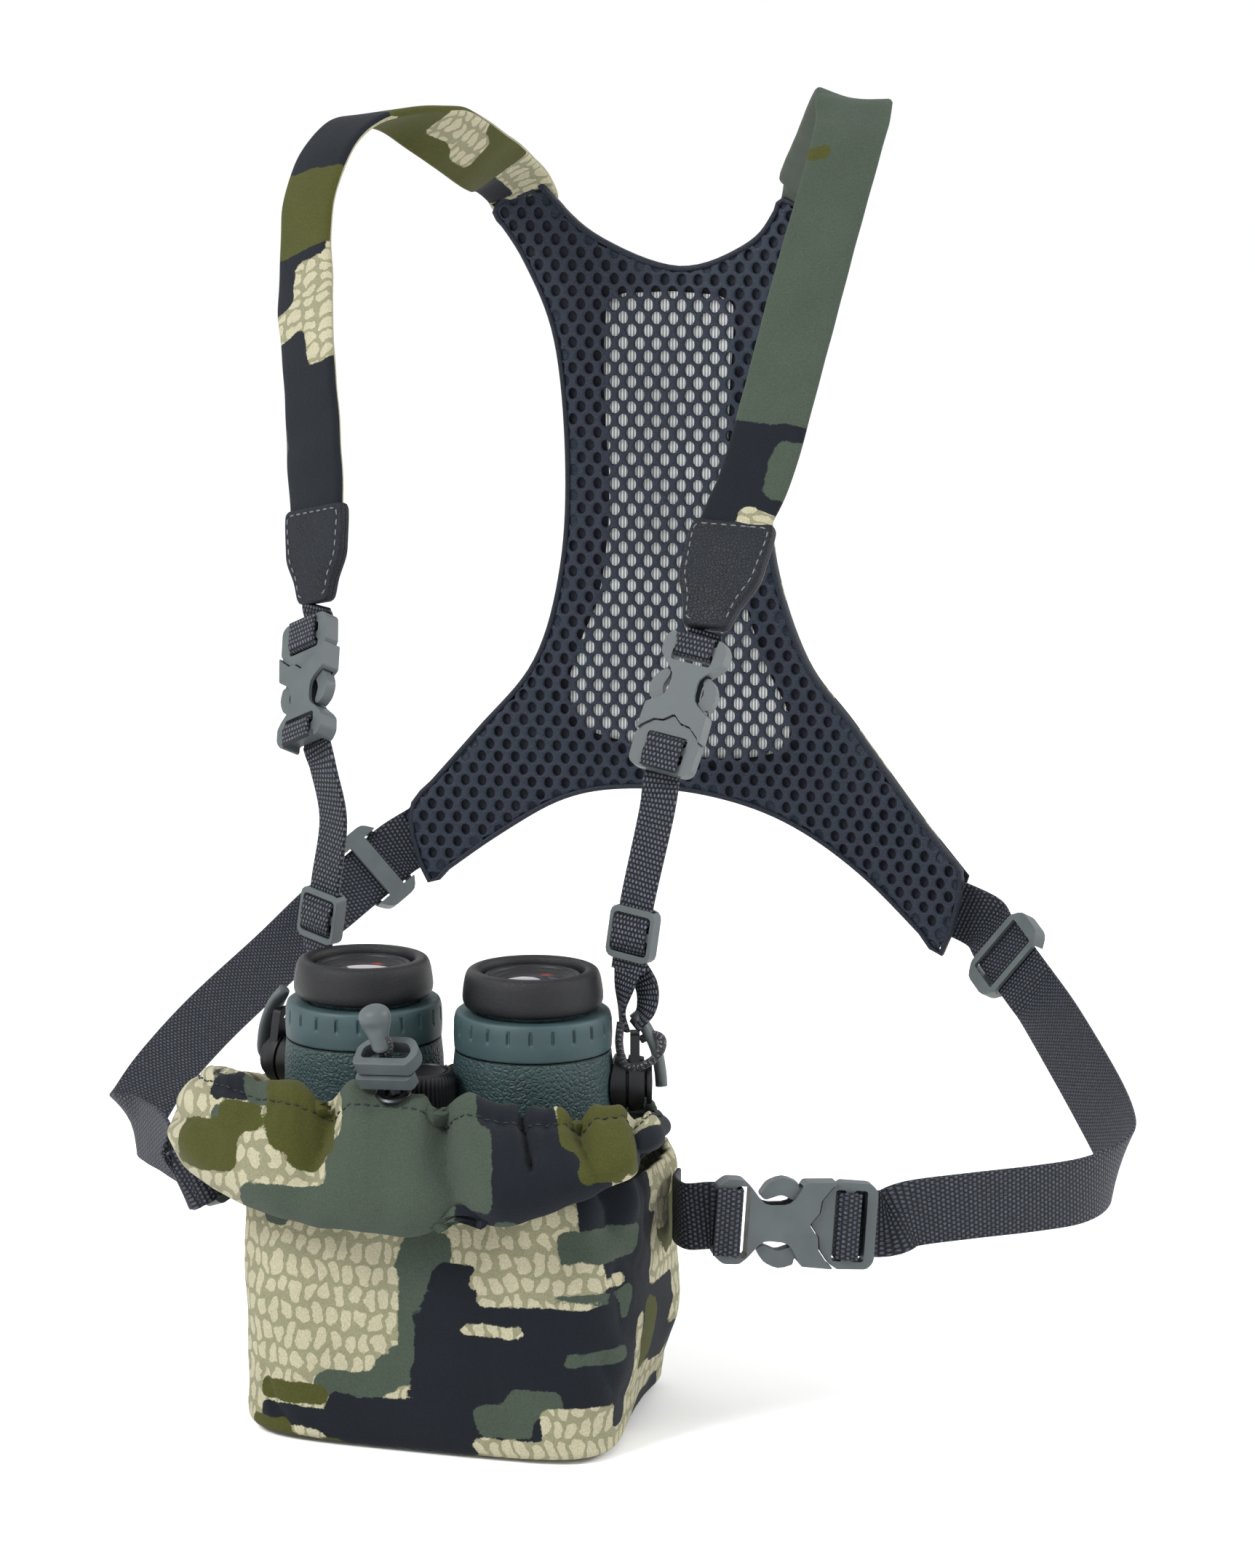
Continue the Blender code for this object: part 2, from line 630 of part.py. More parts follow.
SHOULDER_ROUTES = {
    "left": [
        ((-67.6, 56.0, 282.2), (0.86, -0.47, 0.2)),
        ((-74.6, 71.5, 305), (0.85, -0.50, 0.14)),
        ((-83.5, 90, 333), (0.85, -0.52, 0.09)),
        ((-88.5, 103, 349), (0.86, -0.51, 0.07)),
        ((-91.5, 114, 371), (0.83, -0.55, -0.09)),
        ((-90, 126, 387), (0.74, -0.65, -0.16)),
        ((-85, 139, 397), (0.60, -0.79, -0.12)),
        ((-76, 153, 399), (0.45, -0.86, 0.22)),
        ((-66, 173, 394), (0.38, -0.66, 0.65)),
        ((-61, 205, 383), (0.50, -0.51, 0.70)),
        ((-62, 238, 372.5), (0.80, -0.30, 0.52)),
    ],
    "right": [
        ((74.4, 53.0, 279.6), (0.93, -0.28, -0.17)),
        ((79.5, 62, 297), (0.95, -0.26, -0.19)),
        ((86, 88, 345), (0.96, -0.22, -0.17)),
        ((91, 114, 386), (0.94, -0.28, -0.20)),
        ((91.5, 127, 400), (0.95, -0.27, -0.15)),
        ((89, 137, 405), (0.94, -0.31, -0.13)),
        ((83, 150, 401), (0.93, -0.34, -0.15)),
        ((66, 190, 385), (0.84, -0.46, -0.20)),
        ((49, 236, 368.5), (0.82, -0.30, -0.42)),
    ],
}

CHEST_BUCKLES = {
    "left": {
        "centre": (-61.1, 30, 223.9),
        "up": (-0.161, 0.537, 0.828),
        "across": (0.87, -0.40, 0.29),
        "socket_up": False,
    },
    "right": {
        "centre": (65.5, 19.5, 224),
        "up": (0.20, 0.36, 0.91),
        "across": (0.983, -0.08, -0.163),
        "socket_up": True,
    },
}

TABS = {
    "left": {"foot": (-63.4, 43.8, 247.4), "head": (-66.1, 52.4, 277.6), "across": (0.87, -0.46, 0.2)},
    "right": {"foot": (70.4, 29.6, 246.4), "head": (73.9, 51.4, 277.2), "across": (0.96, -0.22, -0.17)},
}

TRIGLIDES = {
    "left": {"centre": (-56.0, 26.0, 149.5), "along": (0.164, -0.066, 0.984), "across": (0.92, -0.36, -0.15)},
    "right": {"centre": (53.4, 9.2, 153.5), "along": (0.13, 0.03, 0.99), "across": (0.97, -0.22, -0.12)},
}


def shoulder_strap(name):
    return ribbon(f"shoulder_strap_{name}", SHOULDER_ROUTES[name], SHOULDER_W, SHOULDER_T, CAMO, steps=4)


def strap_tab(name):
    """The leather tab at the strap's end, wide at the head and drawn in to the webbing."""
    spec = TABS[name]
    foot, head = Vector(spec["foot"]), Vector(spec["head"])
    length = (head - foot).length
    right = [(0, -7.6, 1.5), (length * 0.45, -13.0, 6), (length - 1.5, -14.0, 0), (length, -12.6, 0)]
    left = [(x, -y, radius) for x, y, radius in reversed(right)]
    outline = filleted(right + left, 2)
    place = frame_at(foot, head - foot, spec["across"])
    return plate(f"strap_tab_{name}", outline, [], -TAB_T / 2, TAB_T / 2, LEATHER, place)


def back_of(place, points):
    """Turns points given in a piece's own frame, in millimetres, into world points."""
    return [tuple((place @ (Vector(p) * MM)) / MM) for p in points]


def loop_in(name, place, route, width, thickness, tail, steps=3):
    """Webbing that wraps round a bar in a buckle's own frame, then runs on along a world route."""
    across = (place.to_3x3() @ Vector((0, 1, 0))).normalized()
    pairs = [(p, tuple(across)) for p in back_of(place, route)] + tail
    return ribbon(name, pairs, width, thickness, WEBBING, steps)


# Side-release buckles. Local X runs from the plug's strap end to the socket's strap end.

BUCKLE_L = 43.5
BUCKLE_B = 10.6
CHEST_T = 7.0
WAIST_BUCKLE = (50.0, 13.5, 8.4)
MOUTH = [(10.4, 10.6), (12.6, 9.4), (15.4, 6.0), (15.8, 3.0), (18.2, 0.0)]


class Buckle:
    """One buckle's sizes: the small chest buckle stretched to its own length, breadth and webbing."""

    def __init__(self, name, place, length, half_breadth, thickness, slot_half):
        self.name = name
        self.sx = length / BUCKLE_L
        self.sy = half_breadth / BUCKLE_B
        self.place = place
        self.half_t = thickness / 2
        self.slot_half = slot_half
        self.skin = 1.25

    def corners(self, points):
        return [(x * self.sx, y * self.sy, r) for x, y, r in points]

    def slot(self, x0, x1, radius=1.0):
        return rectangle(x0 * self.sx, x1 * self.sx, self.slot_half, radius)

    def plug(self):
        mouth = [(x - 0.5, y, 0.8) for x, y in MOUTH]
        half = [(0, 8.4, 3.2), (1.6, 10.4, 2.5), *mouth]
        outline = filleted(self.corners(mirrored(half)), 2)
        holes = [self.slot(2.8, 6.6), self.slot(8.6, 11.6)]
        name = f"{self.name}_buckle_plug"
        return plate(name, outline, holes, -self.half_t * 0.74, self.half_t * 0.74, HARDWARE, self.place)

    def socket(self):
        half = [(x, y, 0.8) for x, y in reversed(MOUTH)]
        half += [
            (19.8, 10.2, 1.2), (23.5, 4.6, 4), (30.5, 4.2, 4), (34.5, 8.6, 3), (36.5, 10.2, 2.5),
            (41.0, 10.3, 3), (43.5, 8.4, 1.4), (43.5, 7.0, 0.6), (41.2, 6.9, 0.6),
        ]
        outline = filleted(self.corners(half + [(x, -y, r) for x, y, r in reversed(half) if y > 0]), 2)
        name = f"{self.name}_buckle_socket"
        body = plate(name, outline, [self.slot(34.6, 38.6)], -self.half_t, self.half_t, HARDWARE, self.place)
        reach = (5 * self.sx, 32.6 * self.sx)
        half_y = 9.2 * self.sy
        half_z = self.half_t - self.skin
        low, high = (reach[0], -half_y, -half_z), (reach[1], half_y, half_z)
        cavity = box(f"{name}_cavity", low, high, place=self.place)
        return boolean(body, cavity)

    def pivot(self):
        return (16.9 * self.sx, 6.6 * self.sy)

    def prong(self, side, hand):
        """A sprung arm of the plug, with its origin on the line that it flexes about."""
        px, py = self.pivot()
        outline = [
            (15.6, 5.4, 1.2), (15.6, 7.8, 1.2), (19.4, 8.5, 1), (21.6, 8.5, 0.3), (21.9, 10.0, 0.8),
            (25.8, 11.3, 5), (30.0, 9.6, 4), (32.0, 6.6, 1.0), (30.6, 5.4, 1.5), (26.2, 6.9, 2.5), (22.5, 5.6, 3),
        ]
        points = [(x * self.sx - px, (y * self.sy - py) * side, r) for x, y, r in outline]
        half_z = self.half_t - self.skin - GAP
        place = self.place @ Matrix.Translation(Vector((px, py * side, 0)) * MM)
        name = f"{self.name}_buckle_prong_{hand}"
        return plate(name, filleted(points, 2), [], -half_z, half_z, HARDWARE, place)

    def build(self):
        self.plug()
        self.socket()
        self.prong(1, "a")
        self.prong(-1, "b")


def wrap(edge, slot_side, half_z, thickness, tip, out):
    """Webbing's path round a buckle's bar, from its free tip on the +Z face to where it leaves at -Z."""
    h = half_z + thickness / 2 + GAP
    turn = thickness / 2 + GAP + 0.7
    s = slot_side
    xs = [tip, edge - s * 3, edge, edge + s * 0.9 * turn, edge + s * turn]
    zs = [h, h, h + 0.1, h * 0.75, 0]
    there = [(x, 0, z) for x, z in zip(xs, zs)]
    back = [(x, 0, -z) for x, z in zip(xs[-2:0:-1], zs[-2:0:-1])]
    return there + back + [(out, 0, -h)]


def chest_place(name):
    spec = CHEST_BUCKLES[name]
    up = unit(spec["up"])
    along = up if spec["socket_up"] else -up
    across = np.array(spec["across"]) * (-1 if spec["socket_up"] else 1)
    centre = np.array(spec["centre"]) - along * BUCKLE_L / 2
    return frame_at(centre, along, across)


def waist_place(name):
    """The waist buckle's plug end is outboard, where the waist strap comes in."""
    if name == "right":
        return frame_at((131, 9, 66.5), (-46, -21, 4), (-0.03, -0.10, -1))
    return frame_at((-94, 8, 66), (0.30, 0.93, 0.26), (0.41, 0.13, -0.90))


def tab_webbing(name):
    """A short loop from the tab round the bar of the buckle half that hangs on it."""
    place = chest_place(name)
    spec = TABS[name]
    foot, head = Vector(spec["foot"]), Vector(spec["head"])
    end = tuple(foot - (head - foot).normalized() * 2.6)
    across = np.array(spec["across"])
    if name == "right":
        route, across = wrap(38.6, -1, 3.5, 1.1, 43.4, 42.0), -across
    else:
        route = wrap(8.6, 1, 2.6, 1.1, 0.5, -1.4)
    return loop_in(f"tab_webbing_{name}", place, route, TETHER_W, 1.1, [(end, tuple(across))])


def tether_webbing(name):
    """From the lower half of the chest buckle down through the triglide to the binocular's lug."""
    place = chest_place(name)
    spec = TRIGLIDES[name]
    centre, along, across = np.array(spec["centre"]), unit(spec["along"]), unit(spec["across"])
    straight = [tuple(centre + along * t) for t in (12, 4, -4, -12)]
    if name == "left":
        route = wrap(38.6, -1, 3.5, TETHER_T, 43.6, 42.5)
        middle = [((-52.8, 21, 197.5), (0.87, -0.44, 0.18)), ((-50.9, 24, 181), (0.88, -0.42, 0.12))]
    else:
        route = wrap(8.6, 1, 2.6, TETHER_T, 0.5, -1.5)
        middle = [((60.2, 11.2, 191), (-0.98, 0.14, 0.10))]
        across = -across
    tail = middle + [(p, tuple(across)) for p in straight]
    return loop_in(f"tether_webbing_{name}", place, route, TETHER_W, TETHER_T, tail)


def triglide(name):
    """A rounded frame that the tether runs through: behind its end bars and over its middle bar."""
    spec = TRIGLIDES[name]
    place = frame_at(spec["centre"], spec["along"], spec["across"])
    half_x, half_y, inner = 8.3, 7.8, 6.5
    rail = TETHER_T / 2 + 0.5
    frame = plate(
        f"triglide_{name}",
        rectangle(-half_x, half_x, half_y, 2.6),
        [rectangle(-6.3, 6.3, inner, 1.2)],
        -2.4, 2.4, HARDWARE, place,
    )
    tunnel = box(f"triglide_tunnel_{name}", (-12, -inner, -rail), (12, inner, rail), place=place)
    boolean(frame, tunnel)
    bar = box(f"triglide_bar_{name}", (-1.4, -7.2, -2.4), (1.4, 7.2, -rail), place=place)
    boolean(frame, bar, "UNION")
    return frame


def tether_hook(name):
    """The curved hook that the tether's end loop clips on to the lug's tab with."""
    side = SIDES[name]
    place = lug_place(side)
    route = [(-22.5, 0, 31.5), (-17.5, 0, 35.2), (-11.0, 0, 38.2), (-4.0, 0, 39.6), (1.0, 0, 40.0)]
    across = tuple((place.to_3x3() @ Vector((0, 1, 0))).normalized())
    pairs = [(p, across) for p in back_of(place, route)]
    return ribbon(f"tether_hook_{name}", pairs, 8.0, 2.2, HARDWARE, steps=2)


# Waist straps

WAIST_ROUTES = {
    "right": {
        "slider": ((124.5, 229, 105.5), (0.60, -0.66, -0.45), (0.62, 0.02, 0.78)),
        "start": -16,
        "end": 26,
        "rest": [
            ((153, 186, 88.5), (0.68, 0.10, 0.73)),
            ((175, 138, 79.5), (0.66, 0.12, 0.73)),
            ((188, 104, 75), (0.46, 0.24, 0.84)),
            ((192.5, 86, 72), (0.28, 0.26, 0.92)),
            ((192, 71, 70.5), (0.12, 0.22, 0.96)),
            ((186.5, 55, 70), (0.02, 0.16, 0.98)),
            ((175, 40, 70.5), (-0.02, 0.08, 0.99)),
            ((158, 26, 70.5), (-0.02, 0.05, 1.0)),
            ((141, 17, 69.0), (0.0, 0.06, 1.0)),
        ],
    },
    "left": {
        "slider": ((-113, 230, 123.5), (-0.52, -0.68, -0.52), (0.66, 0.06, -0.75)),
        "start": -12,
        "end": 30,
        "rest": [
            ((-133, 178, 98.5), (0.62, 0.03, -0.78)),
            ((-138, 130, 87), (0.74, 0.02, -0.66)),
            ((-140, 92, 77), (0.84, -0.08, -0.52)),
            ((-139.5, 71, 70.5), (0.82, -0.26, -0.50)),
            ((-136, 55, 68.8), (0.60, -0.50, -0.62)),
            ((-126, 42, 69), (0.42, -0.50, -0.75)),
            ((-113, 26.5, 70), (0.36, -0.36, -0.86)),
            ((-102.5, 14, 68.5), (0.38, -0.16, -0.90)),
        ],
    },
}


def waist_webbing(name):
    """From the wing of the back panel, straight through the slider, round the waist to the plug."""
    spec = WAIST_ROUTES[name]
    origin, along, across = (np.array(v, float) for v in spec["slider"])
    along = unit(along)
    stretch = np.linspace(spec["start"], spec["end"], 4)
    pairs = [(tuple(origin + along * t), tuple(across)) for t in stretch] + spec["rest"]
    place = waist_place(name)
    side_across = (place.to_3x3() @ Vector((0, 1, 0))).normalized()
    if name == "right":
        route = wrap(9.9, 1, 3.15, WAIST_T, 5.4, -4.5)[::-1]
    else:
        turn_in = [(-4.6, 0, 3.4), (-4.2, 0, -1.0), (-1.8, 0, -4.2)]
        route = turn_in + wrap(9.9, 1, 3.15, WAIST_T, 5.4, 4.0)[-2::-1]
    flip = -1 if np.dot(side_across, spec["rest"][-1][1]) < 0 else 1
    pairs += [(p, tuple(side_across * flip)) for p in back_of(place, route)]
    return ribbon(f"waist_webbing_{name}", pairs, WAIST_W, WAIST_T, WEBBING, steps=3)


def waist_slider(name):
    """A bar slide: a middle bar over the webbing, two end bars under it and a rounded wing at each edge."""
    origin, along, across = WAIST_ROUTES[name]["slider"]
    if name == "right":
        across = tuple(-np.array(across))
    place = frame_at(origin, along, across)
    inner = WAIST_W / 2 + 0.7
    rail = WAIST_T / 2 + 0.5
    half = [(-9, -11, 3), (-5.5, -15.6, 4), (5.5, -15.6, 4), (9, -11, 3)]
    outline = filleted(half + [(x, -y, radius) for x, y, radius in reversed(half)], 2)
    windows = [rectangle(-6.4, -3.4, inner, 0.6), rectangle(3.4, 6.4, inner, 0.6)]
    body = plate(f"waist_slider_{name}", outline, windows, -2.7, 2.7, HARDWARE, place)
    tunnel = box(f"waist_slider_tunnel_{name}", (-12, -inner, -rail), (12, inner, rail), place=place)
    boolean(body, tunnel)
    for end, x in (("a", -10), ("b", 3.4)):
        over = box(f"waist_slider_over_{end}_{name}", (x, -inner, 0), (x + 6.6, inner, 4), place=place)
        boolean(body, over)
    under = box(f"waist_slider_under_{name}", (-3.6, -inner, -4), (3.6, inner, 0), place=place)
    return boolean(body, under)


def pouch_side_webbing(name):
    """The short webbing sewn to the pouch's side that carries the waist buckle's socket."""
    place = waist_place(name)
    route = wrap(44.4, -1, 4.2, WAIST_T, 50.5, 50.8)
    if name == "left":
        route.append((55.5, 0, -8.0))
    side_across = (place.to_3x3() @ Vector((0, 1, 0))).normalized()
    pairs = [(p, tuple(side_across)) for p in back_of(place, route)]
    if name == "right":
        anchors = [((75.5, -7.5, 69.3), (0, 0, -1)), ((68.8, 3, 68.5), (0, 0, -1))]
        anchors += [((66.8, 14, 68), (0, 0, -1))]
    else:
        lean = (0.35, 0.1, -0.93)
        anchors = [((-64, 53, 79.5), lean), ((-55, 48.5, 76.5), (0.2, 0, -0.98))]
        anchors += [((-44, 46.6, 75), (0.1, 0, -1))]
    pairs += anchors
    return ribbon(f"pouch_side_webbing_{name}", pairs, WAIST_W, WAIST_T, WEBBING, steps=3)


def build():
    for name, side in SIDES.items():
        barrel(name, side)
        ocular_ring(name, side)
        eyecup(name, side)
        eyepiece_lens(name, side)
        objective_lens(name, side)
        prism(name, side)
        lug_connector(name, side)
    bridge()
    focus_wheel()
    pouch_body()
    pouch_collar()
    grommet()
    cord_lock_body()
    cord_lock_jaw()
    cord_knob()
    drawcord()
    back_panel()
    for name in SIDES:
        shoulder_strap(name)
        strap_tab(name)
        tab_webbing(name)
        Buckle(f"chest_{name}", chest_place(name), BUCKLE_L, BUCKLE_B, CHEST_T, TETHER_W / 2 + 0.6).build()
        tether_webbing(name)
        triglide(name)
        tether_hook(name)
        waist_webbing(name)
        waist_slider(name)
        pouch_side_webbing(name)
        Buckle(f"waist_{name}", waist_place(name), *WAIST_BUCKLE, WAIST_W / 2 + 0.6).build()


build()
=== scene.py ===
"""Looks of the binocular harness pack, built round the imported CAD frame.

Lengths are in millimetres and are turned into metres where a mesh is made. +X is to the right as seen
from the front, +Y is towards the wearer and +Z is up, as in the frame."""
import math

import bmesh
import bpy
import numpy as np
from mathutils import Matrix, Vector, noise


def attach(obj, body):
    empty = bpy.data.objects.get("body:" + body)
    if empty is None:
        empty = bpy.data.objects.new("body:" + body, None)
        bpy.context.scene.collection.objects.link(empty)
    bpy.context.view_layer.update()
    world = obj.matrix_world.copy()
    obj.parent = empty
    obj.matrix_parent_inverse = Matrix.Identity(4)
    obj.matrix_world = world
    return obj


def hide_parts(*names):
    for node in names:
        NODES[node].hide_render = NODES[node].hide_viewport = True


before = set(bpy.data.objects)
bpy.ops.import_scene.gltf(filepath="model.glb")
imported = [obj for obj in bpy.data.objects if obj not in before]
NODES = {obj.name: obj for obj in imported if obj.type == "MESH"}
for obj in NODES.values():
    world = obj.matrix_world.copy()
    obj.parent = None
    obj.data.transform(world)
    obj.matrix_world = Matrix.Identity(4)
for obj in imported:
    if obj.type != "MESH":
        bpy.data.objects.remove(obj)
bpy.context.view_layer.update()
MM = 0.001
PACK = "pack"
SIDES = {"left": -1, "right": 1}
rng = np.random.default_rng(7)


# Camera, floor and light

def add(name, data):
    made = bpy.data.objects.new(name, data)
    bpy.context.scene.collection.objects.link(made)
    return made


def aim(obj, place, target):
    """Stands a camera or a light at a place, in metres, facing the target."""
    obj.location = place
    obj.rotation_mode = "QUATERNION"
    obj.rotation_quaternion = (Vector(target) - Vector(place)).to_track_quat("-Z", "Y")


def camera():
    """Looks at the pack a little from its right and from above, through a long lens."""
    azimuth, elevation, distance = math.radians(17), math.radians(10), 1.414
    target = Vector((36, 60, 191)) * MM
    level = math.cos(elevation)
    back = Vector((math.sin(azimuth) * level, -math.cos(azimuth) * level, math.sin(elevation)))
    data = bpy.data.cameras.new("camera")
    data.sensor_width = 36
    data.lens = 101.45
    data.clip_start = 0.05
    made = add("camera", data)
    aim(made, target + back * distance, target)
    bpy.context.scene.camera = made


def area_light(name, place, target, size, power):
    data = bpy.data.lights.new(name, "AREA")
    data.size = size
    data.energy = power
    aim(add(name, data), place, target)


def studio():
    """A pale floor in a white room, with a soft key light from the upper left and a weaker rim light."""
    half, level = 6.0, -0.0004
    corners = [(x * half, y * half, level) for x, y in ((-1, -1), (1, -1), (1, 1), (-1, 1))]
    mesh = bpy.data.meshes.new("floor")
    mesh.from_pydata(corners, [], [(0, 1, 2, 3)])
    mesh.materials.append(Look("pale_floor", 0.9, Base_Color=(1, 1, 1, 1), Specular_IOR_Level=0.0).material)
    add("floor", mesh)
    world = bpy.data.worlds.new("room")
    world.use_nodes = True
    air = world.node_tree.nodes["Background"].inputs
    air["Color"].default_value = (1, 1, 1, 1)
    air["Strength"].default_value = 1.0
    bpy.context.scene.world = world
    bpy.context.scene.view_settings.view_transform = "Standard"
    area_light("key", (-0.9, -1.2, 1.6), (0, 0, 0.15), 0.8, 40)
    area_light("rim", (1.3, 0.4, 0.9), (0, 0.1, 0.2), 0.6, 14)


# Materials

STUDIO = 0.66


def rgb(red, green, blue):
    """A screen colour, 0 to 255, as the linear colour that looks like it in this bright studio."""
    return tuple(STUDIO * (c / 255) ** 2.2 for c in (red, green, blue)) + (1,)


KHAKI = rgb(146, 144, 117)
CREAM = rgb(187, 182, 154)
GREEN = rgb(74, 84, 74)
# The camouflage's layers from the lowest up. The last one brings the scale print back.
CAMO_LAYERS = {
    "green_low": GREEN, "navy": rgb(33, 37, 43), "green_high": GREEN, "olive": rgb(76, 78, 40),
    "cream_high": None,
}
SCALE_PITCH = (4.9, 7.2)


class Wire:
    """An output of one of a material's nodes, which takes part in ordinary sums."""

    def __init__(self, look, socket):
        self.look = look
        self.socket = socket

    def __add__(self, other):
        return self.look.math("ADD", self, other)

    def __sub__(self, other):
        return self.look.math("SUBTRACT", self, other)

    def __rsub__(self, other):
        return self.look.math("SUBTRACT", other, self)

    def __mul__(self, other):
        return self.look.math("MULTIPLY", self, other)

    def __truediv__(self, other):
        return self.look.math("DIVIDE", self, other)

    def __mod__(self, other):
        return self.look.math("MODULO", self, other)

    def __pow__(self, other):
        return self.look.math("POWER", self, other)

    def __abs__(self):
        return self.look.math("ABSOLUTE", self)


class Look:
    """A Principled material, with short calls for the nodes that drive it."""

    def __init__(self, name, roughness=0.6, metallic=0.0, **sockets):
        self.material = bpy.data.materials.new(name)
        self.material.use_nodes = True
        self.tree = self.material.node_tree
        self.shader = self.tree.nodes["Principled BSDF"]
        for socket, value in {"Roughness": roughness, "Metallic": metallic, **sockets}.items():
            self.shader.inputs[socket.replace("_", " ")].default_value = value

    def put(self, socket, value):
        if isinstance(value, Wire):
            self.tree.links.new(value.socket, socket)
        else:
            socket.default_value = value

    def node(self, kind, inputs, out=0, **settings):
        """Adds a node, whose inputs and output are given by name or by number."""
        made = self.tree.nodes.new("ShaderNode" + kind)
        for key, value in settings.items():
            setattr(made, key, value)
        for socket, value in inputs.items():
            self.put(made.inputs[socket], value)
        return Wire(self, made.outputs[out])

    def math(self, operation, *values):
        return self.node("Math", dict(enumerate(values)), operation=operation)

    def vector(self, operation, a, b):
        return self.node("VectorMath", {0: a, 1: b}, operation=operation)

    def place(self):
        """The point on the piece, in metres, as it lies at rest."""
        return self.node("TexCoord", {}, "Object")

    def lay(self):
        """The point on the cloth, in millimetres: along it, across it and out of it."""
        return self.node("Attribute", {}, "Vector", attribute_name="lay")

    def value(self, name):
        return self.node("Attribute", {}, "Fac", attribute_name=name)

    def split(self, lay):
        return [self.node("SeparateXYZ", {0: lay}, k) for k in (0, 1)]

    def noise(self, vector, scale, detail=2.0, roughness=0.5):
        return self.node(
            "TexNoise", {"Vector": vector, "Scale": scale, "Detail": detail, "Roughness": roughness}
        )

    def cells(self, vector, scale):
        """The distance to the edge of the nearest random cell."""
        return self.node(
            "TexVoronoi", {"Vector": vector, "Scale": scale}, "Distance", feature="DISTANCE_TO_EDGE"
        )

    def span(self, value, low, high, to_low=0.0, to_high=1.0):
        """Maps a value from one range to another, kept inside it."""
        return self.node("MapRange", dict(enumerate((value, low, high, to_low, to_high))))

    def mix(self, share, a, b, blend="MIX"):
        return self.node("Mix", {0: share, 6: a, 7: b}, 2, data_type="RGBA", blend_type=blend)

    def shade(self, colour, amount):
        """Darkens or lightens a colour by a factor."""
        return self.mix(1.0, colour, self.node("CombineXYZ", {0: amount, 1: amount, 2: amount}), "MULTIPLY")

    def bump(self, height, distance):
        return self.node("Bump", {"Distance": distance * MM, "Height": height})

    def finish(self, colour, normal=None, roughness=None):
        for socket, value in (("Base Color", colour), ("Normal", normal), ("Roughness", roughness)):
            if value is not None:
                self.put(self.shader.inputs[socket], value)
        return self.material


def scale_print(look, lay):
    """Pale tongues in staggered rows on a khaki ground, bent by a slow wave so that no two are alike."""
    along, across = look.split(lay)
    bend_x = (look.noise(lay, 0.11, 3.0) - 0.5) * 9.0
    bend_y = (look.noise(look.vector("ADD", lay, (40, 90, 0)), 0.13) - 0.5) * 9.0
    v = (across + bend_y) / SCALE_PITCH[1]
    u = (along + bend_x) / SCALE_PITCH[0] + look.math("FLOOR", v) * 0.43
    x = abs(look.math("FRACT", u) - 0.5)
    y = abs(look.math("FRACT", v) - 0.48)
    wobble = (look.noise(lay, 0.45, 1.0) - 0.5) * 0.75
    return look.span((x / 0.39) ** 2.6 + (y / 0.42) ** 2.6 + wobble, 1.0, 0.82)


def camo():
    """Brushed stretch fabric in flat patches: navy, grey-green and olive over a scale print."""
    look = Look("camo_fabric", 0.93, Specular_IOR_Level=0.12, Sheen_Weight=0.05, Sheen_Roughness=0.5)
    lay, place = look.lay(), look.place()
    scales = look.mix(scale_print(look, lay), KHAKI, CREAM)
    ragged = (look.noise(place, 130) - 0.5) * 3.4 + (look.noise(place, 1300) - 0.5) * 0.9
    colour = scales
    for layer, tone in CAMO_LAYERS.items():
        colour = look.mix(look.span(look.value(layer) + ragged, 0.18, -0.18), colour, tone or scales)
    fleck = look.span(look.noise(place, 2300, 2.0, 0.7), 0.3, 0.7, 0.8, 1.22)
    cloud = look.span(look.noise(place, 60), 0.3, 0.7, 0.95, 1.05)
    brushed = look.bump(look.noise(place, 1500, 3.0, 0.65), 0.28)
    return look.finish(look.shade(colour, fleck * cloud), brushed)


def webbing(name, pale, pitch=(1.55, 1.25), roughness=0.55):
    """Flat woven tape: staggered ribs across it, with a painted highlight in broken pale dashes on their
    tops.
    """
    look = Look(name, roughness, Specular_IOR_Level=0.28)
    lay = look.lay()
    along, across = look.split(lay)
    v = along / pitch[0]
    u = across / pitch[1] + abs(look.math("FLOOR", v)) % 2.0 * 0.5
    x = (look.math("FRACT", u) - 0.5) * 2.0
    y = (look.math("FRACT", v) - 0.5) * 2.0
    height = (1.0 - x * x) * (1.0 - y * y)
    thread = look.noise(look.vector("MULTIPLY", lay, (1.0, 6.0, 1.0)), 1.1)
    # The pale colour on the rib tops, broken up by the thread noise, is a painted highlight.
    glint = look.span(height, 0.35, 0.85) * look.span(thread, 0.38, 0.56)
    return look.finish(look.mix(glint, rgb(17, 20, 27), pale), look.bump(height, 0.42))


def leather():
    """Dark leather with a fine cracked grain, shinier in patches."""
    look = Look("tab_leather", 0.5, Specular_IOR_Level=0.22)
    place = look.place()
    patch = look.noise(place, 90, 3.0)
    colour = look.mix(look.span(patch, 0.35, 0.65), rgb(20, 24, 32), rgb(30, 35, 43))
    height = look.span(look.cells(place, 900), 0.0, 0.12) + look.noise(place, 2400)
    return look.finish(colour, look.bump(height, 0.09), look.span(patch, 0.3, 0.7, 0.42, 0.6))


def moulded(name, colour, roughness, grain=0.05, wear=0.12):
    """Moulded plastic: a fine spark-eroded grain and faint handling marks."""
    look = Look(name, roughness, Specular_IOR_Level=0.35)
    place = look.place()
    cloud = look.noise(place, 110, 3.0)
    paler = tuple(min(1.0, c * (1 + 2.2 * wear)) for c in colour[:3]) + (1,)
    shade = look.mix(look.span(cloud, 0.3, 0.7), colour, paler)
    rough = look.span(cloud, 0.3, 0.7, roughness - 0.05, roughness + 0.08)
    return look.finish(shade, look.bump(look.noise(place, 3600, 2.0, 0.6), grain), rough)


